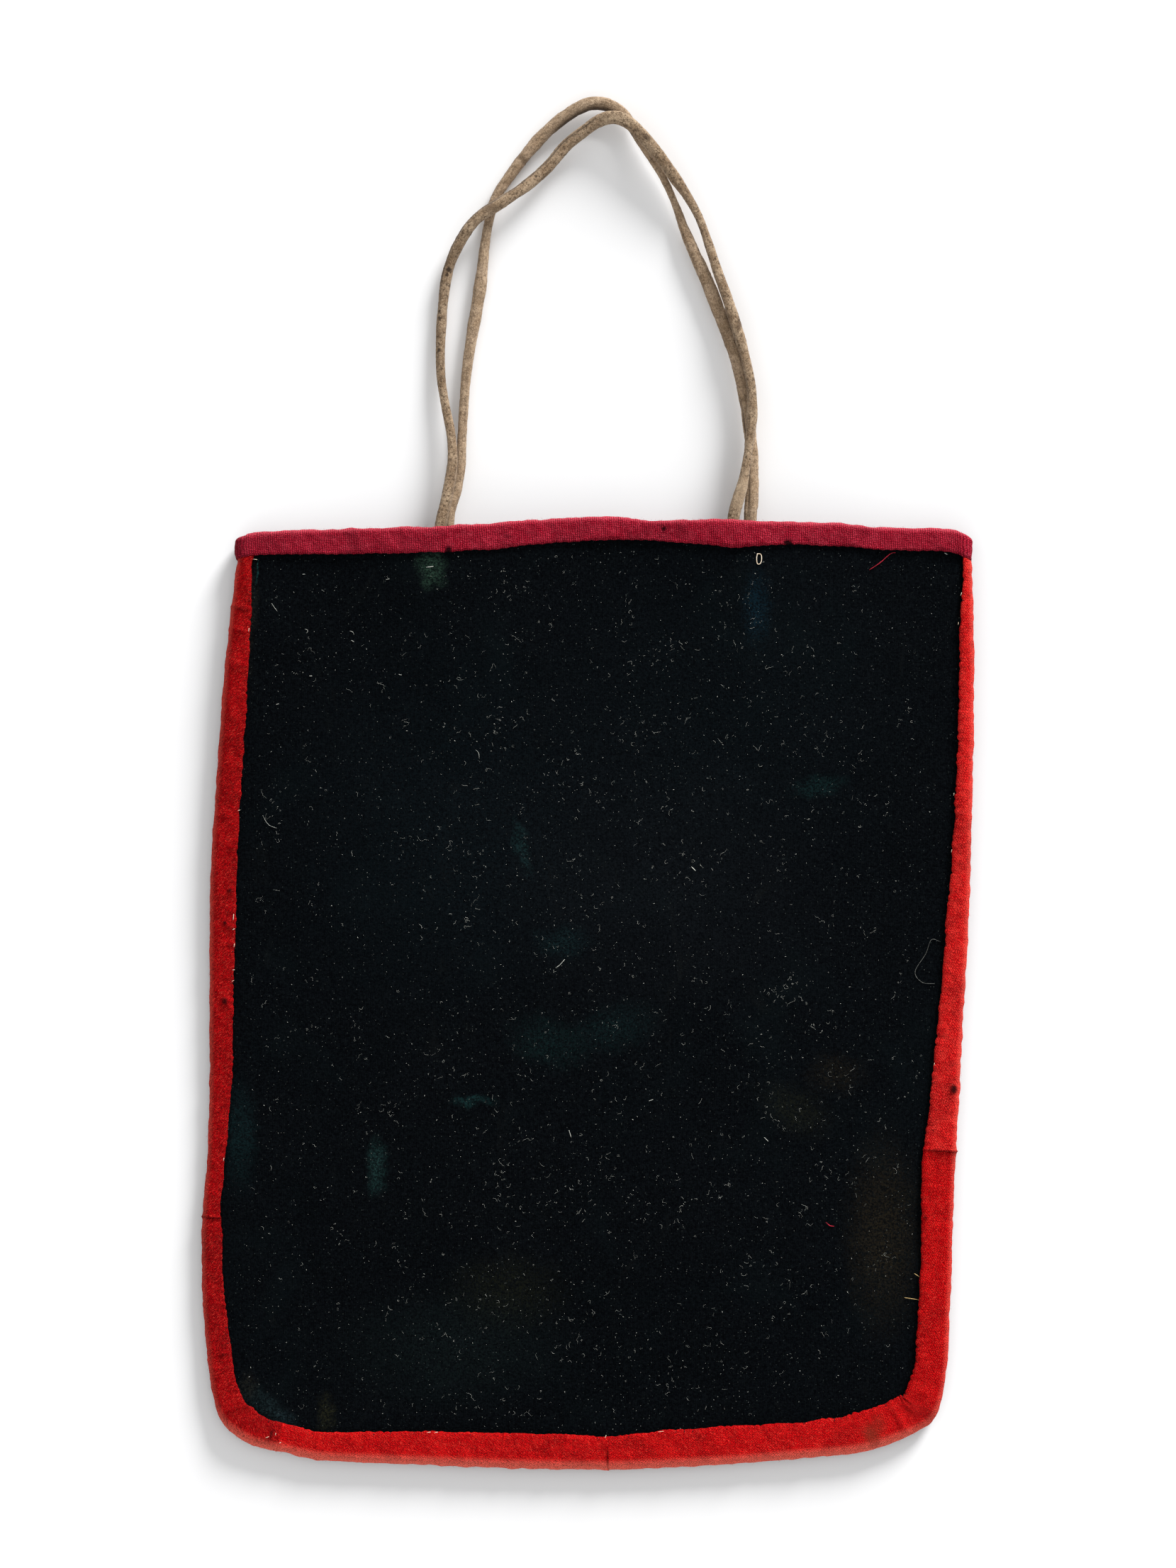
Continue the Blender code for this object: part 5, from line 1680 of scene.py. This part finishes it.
    def wool_fuzz(self) -> None:
        """Short fibres that stand off the wool's edges."""
        form = self.form
        random = np.random.default_rng(self.seed + 2)
        red = ThreadWork("red_fuzz", FibreFinish("red_fuzz", screen(232, 60, 50), screen(180, 20, 22)).material(),
                         "red_wool")
        for _ in range(self.fuzz):
            run = random.uniform(0.004, form.rim_length - 0.004)
            at, into = form.rim_at(np.array([run]))
            thick = float(form.thick(at[:, 1])[0])
            width = float(form.red_width(np.array([run]))[0])
            side = np.array([into[0, 1], -into[0, 0]])
            if random.uniform() < 0.55:
                turn = random.uniform(0.60 * math.pi, 1.15 * math.pi)
                inset = thick / 2 * (1 + math.cos(turn))
                height = thick / 2 * (1 + math.sin(turn))
                out = np.array([*(into[0] * math.cos(turn)), math.sin(turn)])
            else:
                inset = width - random.uniform(-0.0001, 0.0012)
                height = self.on_wool(run, inset, -0.0002)[2]
                out = np.array([*(into[0] * random.uniform(0.3, 1.0)), random.uniform(0.2, 0.7)])
            base = np.array([*(at[0] + inset * into[0]), height])
            way = out + np.array([*(side * random.normal(0, 0.8)), random.normal(0, 0.3)])
            way /= np.linalg.norm(way)
            length = random.uniform(0.0003, 0.0008)
            curl = np.array([*(side * random.normal(0, 0.5)), random.normal(0, 0.3)])
            points = [base + way * length * s + curl * length * s * s for s in (-0.15, 0.3, 0.7, 1.0)]
            points = [(p[0], p[1], max(p[2], 0.0001)) for p in points]
            red.lay(points, random.uniform(0.000010, 0.000020), 0.6)
        red.finish_piece()
        crimson = ThreadWork("crimson_fuzz", FibreFinish("crimson_fuzz", screen(196, 62, 88),
                                                         screen(130, 12, 40)).material(), "crimson_wool")
        for _ in range(self.fuzz // 3):
            x = random.uniform(form.mouth[0, 0] + 0.003, form.mouth[-1, 0] - 0.003)
            y = float(form.mouth_top(np.array([x]))[0])
            z = float(form.top(np.array([x]), np.array([form.half_length]))[0])
            base = np.array([x, y - 0.0002, z + random.uniform(-0.0006, 0.0008)])
            way = np.array([random.normal(0, 0.6), 1.0, random.uniform(-0.2, 0.8)])
            way /= np.linalg.norm(way)
            length = random.uniform(0.0003, 0.0009)
            bend = random.normal(0, 0.4)
            points = [tuple(base + way * length * s + np.array([bend, 0, 0]) * length * s * s) for s in (0, 0.5, 1)]
            crimson.lay(points, random.uniform(0.000010, 0.000018), 0.6)
        crimson.finish_piece()

    def build(self) -> None:
        """Lay every kind of fibre."""
        self.cream = FibreFinish("cream_thread", screen(250, 236, 214), screen(214, 190, 158)).material()
        self.lint()
        self.keepsakes()
        self.stitches()
        self.wool_fuzz()


@dataclass
class BeadRows:
    """Seed beads sewn in rows on the front cloth, and the one that shows through a hole in the wool."""

    form: BagForm
    pitch: float = 0.00172
    row: float = 0.00190
    half_sizes: tuple[float, float, float] = (0.00085, 0.00092, 0.00054)
    margin: float = 0.0010
    pieces: int = 3
    seed: int = 15

    def rim(self) -> np.ndarray:
        """The bead field's edge down the left side, round the bottom and up the right."""
        at, into = self.form.rim_at(np.linspace(0.0, self.form.rim_length, 700))
        return at + (self.form.front_leg + self.margin) * into

    def outline(self) -> np.ndarray:
        """The bead field's own outline, inside the wool's walls."""
        form, rim = self.form, self.rim()
        inset = form.mouth_leg + self.margin
        rim = rim[rim[:, 1] < form.mouth_top(rim[:, 0]) - inset]
        top = np.stack([form.mouth[:, 0], form.mouth[:, 1] - inset], axis=1)[::-1]
        return np.vstack([rim, top[(top[:, 0] > rim[0, 0]) & (top[:, 0] < rim[-1, 0])]])

    def build(self) -> list[bpy.types.Object]:
        """String the beads in rows and sew them on in a few pieces."""
        finish = BeadFinish().material()
        edge = self.outline()
        low, high = edge.min(axis=0), edge.max(axis=0)
        rows = np.arange(low[1], high[1], self.row)
        made = []
        random = np.random.default_rng(self.seed)
        for k, some in enumerate(np.array_split(rows, self.pieces)):
            bead = bmesh.new()
            bmesh.ops.create_icosphere(bead, subdivisions=1, radius=1.0)
            bmesh.ops.scale(bead, vec=self.half_sizes, verts=bead.verts[:])
            count = int((high[0] - low[0]) / self.pitch)
            bmesh.ops.translate(bead, vec=(low[0], some[0], self.form.front_bottom - 0.0006), verts=bead.verts[:])
            name = f"bead_rows_{k + 1}"
            mesh = bpy.data.meshes.new(name)
            bead.to_mesh(mesh)
            bead.free()
            strung = bpy.data.objects.new(name + "_strung", mesh)
            bpy.context.scene.collection.objects.link(strung)
            for amount, offset in ((count, (self.pitch, 0.0, 0.0)), (len(some), (0.0, self.row, 0.0))):
                array = strung.modifiers.new("row", "ARRAY")
                array.count = amount
                array.use_relative_offset = False
                array.use_constant_offset = True
                array.constant_offset_displace = offset
            bpy.context.view_layer.update()
            whole = bpy.data.meshes.new_from_object(strung.evaluated_get(bpy.context.evaluated_depsgraph_get()))
            bpy.data.objects.remove(strung)
            piece = bpy.data.objects.new(name, self.trim(whole, edge, random))
            made.append(show(piece, finish, "seed_beads", *(("bead_field",) if k == 0 else ())))
        made.append(self.lone_bead(finish))
        return made

    def trim(self, mesh: bpy.types.Mesh, edge: np.ndarray, random: np.random.Generator) -> bpy.types.Mesh:
        """Shift each bead a little and take away those outside the field.

        Args:
            mesh: beads in straight rows.
            edge: the field's outline.
            random: the seeded source.

        Returns:
            The mesh that is left.
        """
        flat = np.empty(len(mesh.vertices) * 3)
        mesh.vertices.foreach_get("co", flat)
        beads = flat.reshape(-1, 12, 3)
        middle = beads.mean(axis=1)
        rim = self.rim()
        lowest = int(rim[:, 1].argmin())
        left = np.interp(middle[:, 1], rim[:lowest + 1][::-1, 1], rim[:lowest + 1][::-1, 0])
        right = np.interp(middle[:, 1], rim[lowest:, 1], rim[lowest:, 0])
        place = np.rint((middle[:, 0] - edge[:, 0].min()) / self.pitch)
        strung = np.maximum(np.floor((right - left) / self.pitch), 1.0)
        straight = left + place * (right - left) / strung
        size = random.uniform(0.90, 1.05, len(beads))[:, None, None]
        shift = np.column_stack([random.normal(0, 0.00007, len(beads)), random.normal(0, 0.00006, len(beads)),
                                 random.normal(0, 0.00002, len(beads))])
        shift[:, 0] += straight - middle[:, 0]
        shift[:, 1] += 0.00025 * ripple(middle[:, :2], 0.035, 91)
        beads = middle[:, None] + (beads - middle[:, None]) * size + shift[:, None]
        beads[..., 2] = np.clip(beads[..., 2], 0.00004, None)
        mesh.vertices.foreach_set("co", beads.ravel())
        out = (place > strung) | (Panel.depth(np.column_stack([straight, middle[:, 1]]), edge) < -0.0001)
        out = np.repeat(out, 12)
        shell = bmesh.new()
        shell.from_mesh(mesh)
        bmesh.ops.delete(shell, geom=[v for v, gone in zip(shell.verts[:], out) if gone], context="VERTS")
        finish_mesh(mesh, shell)
        return mesh

    def lone_bead(self, finish: bpy.types.Material) -> bpy.types.Object:
        """The greenish bead in the hole of the left strip."""
        shell = bmesh.new()
        bmesh.ops.create_icosphere(shell, subdivisions=3, radius=1.0)
        bmesh.ops.scale(shell, vec=(0.00062, 0.00072, 0.00050), verts=shell.verts[:])
        x, y = spot(319, 1413)
        height = float(self.form.top(np.array([x]), np.array([y]))[0]) + self.form.wool
        bmesh.ops.translate(shell, vec=(x, y, height - 0.0002), verts=shell.verts[:])
        mesh = bpy.data.meshes.new("bead_in_hole")
        finish_mesh(mesh, shell)
        return show(bpy.data.objects.new("bead_in_hole", mesh), finish, "seed_beads")


@dataclass
class Studio:
    """A pale floor, a soft low key light from the upper right, and the camera straight above."""

    view: tuple[float, float] = (0.0001, 0.0679)
    height: float = 2.0
    lens: float = 141.7
    light_way: tuple[float, float] = (0.50, 0.87)
    elevation: float = 17.0
    spread: float = 21.0
    key: float = 5.2
    fill_way: tuple[float, float] = (-0.35, -0.94)
    fill_elevation: float = 20.0
    fill_spread: float = 60.0
    fill: float = 0.42
    sky: float = 0.64

    @staticmethod
    def lamp(name: str, way: tuple[float, float], elevation: float, spread: float, strength: float) -> None:
        """Add a far light.

        Args:
            name: the light's name.
            way: the direction across the floor that it comes from.
            elevation: its height over the floor in degrees.
            spread: its seen width in degrees.
            strength: its strength.
        """
        sun = bpy.data.lights.new(name, "SUN")
        sun.energy = strength
        sun.angle = math.radians(spread)
        lamp = bpy.data.objects.new(name, sun)
        lamp.rotation_euler = (-math.radians(90 - elevation), 0.0, -math.atan2(way[0], way[1]))
        bpy.context.scene.collection.objects.link(lamp)

    def build(self) -> None:
        """Set the floor, the lights and the camera."""
        shell = bmesh.new()
        bmesh.ops.create_grid(shell, x_segments=1, y_segments=1, size=3.0)
        bmesh.ops.translate(shell, vec=(0.0, 0.0, -0.0003), verts=shell.verts[:])
        mesh = bpy.data.meshes.new("floor")
        shell.to_mesh(mesh)
        shell.free()
        floor = bpy.data.objects.new("floor", mesh)
        finish, _, shader = new_material("floor", 0.9, 0.1)
        shader.inputs["Base Color"].default_value = (0.93, 0.93, 0.935, 1.0)
        mesh.materials.append(finish)
        bpy.context.scene.collection.objects.link(floor)
        self.lamp("key", self.light_way, self.elevation, self.spread, self.key)
        self.lamp("fill", self.fill_way, self.fill_elevation, self.fill_spread, self.fill)
        world = bpy.data.worlds.new("studio")
        world.use_nodes = True
        world.node_tree.nodes["Background"].inputs["Color"].default_value = (1.0, 1.0, 1.0, 1.0)
        world.node_tree.nodes["Background"].inputs["Strength"].default_value = self.sky
        bpy.context.scene.world = world
        bpy.context.scene.view_settings.view_transform = "Standard"
        camera = bpy.data.cameras.new("camera")
        camera.lens = self.lens
        camera.sensor_width = 36.0
        camera.clip_start, camera.clip_end = 0.01, 50.0
        eye = bpy.data.objects.new("camera", camera)
        eye.location = (*self.view, self.height)
        bpy.context.scene.collection.objects.link(eye)
        bpy.context.scene.camera = eye


def make_thongs(effects: Effects) -> None:
    """Build the two thongs, the one above first."""
    back_marks = (
        Mark((634, 382), (4, 4), screen(44, 32, 24), 0.9), Mark((631, 389), (2, 2), screen(44, 32, 24), 0.8),
        Mark((621, 440), (2, 3), screen(50, 38, 28), 0.8), Mark((621, 450), (2, 3), screen(50, 38, 28), 0.8),
        Mark((620, 495), (2, 3), screen(50, 38, 28), 0.8), Mark((912, 197), (7, 4), screen(66, 50, 36), 0.7, 0.5, 40), Mark((899, 187), (4, 3), screen(66, 50, 36), 0.6),
        Mark((1044, 455), (4, 14), screen(74, 56, 42), 0.7, 0.4, 12), Mark((690, 296), (12, 7), screen(84, 66, 50), 0.5),
        Mark((1046, 700), (12, 22), screen(214, 190, 160), 0.35, 0.5),
    )
    Thong("thong_back", "strap_back", STRAP_BACK_ROUTE, (
        (622, 740, 16), (632, 690, 16), (634, 640, 14), (636, 600, 12.5), (628, 560, 12), (622, 500, 13),
        (622, 450, 14), (622, 410, 14.5), (634, 370, 15), (655, 330, 16), (700, 292, 16.5), (740, 265, 16.5),
        (790, 215, 17), (825, 187, 17), (864, 168, 19), (884, 175, 19), (905, 195, 18), (930, 220, 17),
        (950, 250, 17), (970, 280, 13), (984, 310, 11), (992, 335, 12), (1000, 370, 13.5), (1012, 410, 14),
        (1022, 440, 16), (1038, 470, 16), (1047, 510, 13), (1056, 545, 13), (1060, 590, 15.5), (1057, 630, 11.5),
        (1052, 665, 13), (1045, 700, 17), (1037, 730, 17)),
        HideFinish("tan_hide_back", pits=0.80, marks=back_marks), (-0.0474, 0.1515, 0.0085), 0.3326,
        groove=(0.09, 0.17), seed=5).build(effects)
    front_marks = (
        # The first two marks are painted shade along the side of the thong that runs under the other one.
        Mark((760, 245), (60, 6), screen(92, 72, 54), 0.6, 0.5, 42), Mark((845, 176), (30, 5), screen(92, 72, 54), 0.6),
        Mark((640, 560), (4, 60), screen(150, 122, 92), 0.4), Mark((1020, 520), (8, 60), screen(120, 98, 74), 0.4),
    )
    Thong("thong_front", "strap_front", STRAP_FRONT_ROUTE, (
        (636, 735, 12), (638, 690, 13), (646, 640, 13), (652, 580, 13), (656, 540, 13.5), (664, 500, 15),
        (672, 460, 17), (680, 400, 18), (683, 380, 16), (690, 345, 13), (700, 312, 13), (730, 260, 15),
        (770, 205, 18), (800, 168, 18), (830, 150, 19), (860, 150, 19), (885, 170, 16), (905, 200, 12),
        (930, 245, 10.5), (949, 280, 10), (960, 300, 11), (975, 330, 15), (990, 360, 17), (1005, 400, 19),
        (1025, 450, 19), (1040, 500, 18.5), (1052, 550, 18), (1058, 600, 18), (1060, 660, 18.5), (1058, 730, 19)),
        HideFinish("tan_hide_front", mid=screen(160, 134, 106), light=screen(192, 166, 138), pits=0.45,
                   marks=front_marks),
        (-0.0445, 0.1515, 0.0057), 0.3320, groove=(0.275, 0.32), shade_run=(0.143, 0.190), seed=11).build(effects)


def main() -> None:
    """Build and dress the bag in order."""
    logging.basicConfig(level=logging.INFO, format="%(name)s: %(message)s")
    effects = Effects()
    form = BagForm()
    Studio().build()
    make_thongs(effects)
    VelvetBack(form).build(effects)
    FrontCloth(form).build(effects)
    RedBinding(form).build(effects)
    MouthBinding(form).build(effects)
    LooseFibres(form).build()
    BeadRows(form).build()


if __name__ == "__main__":
    main()
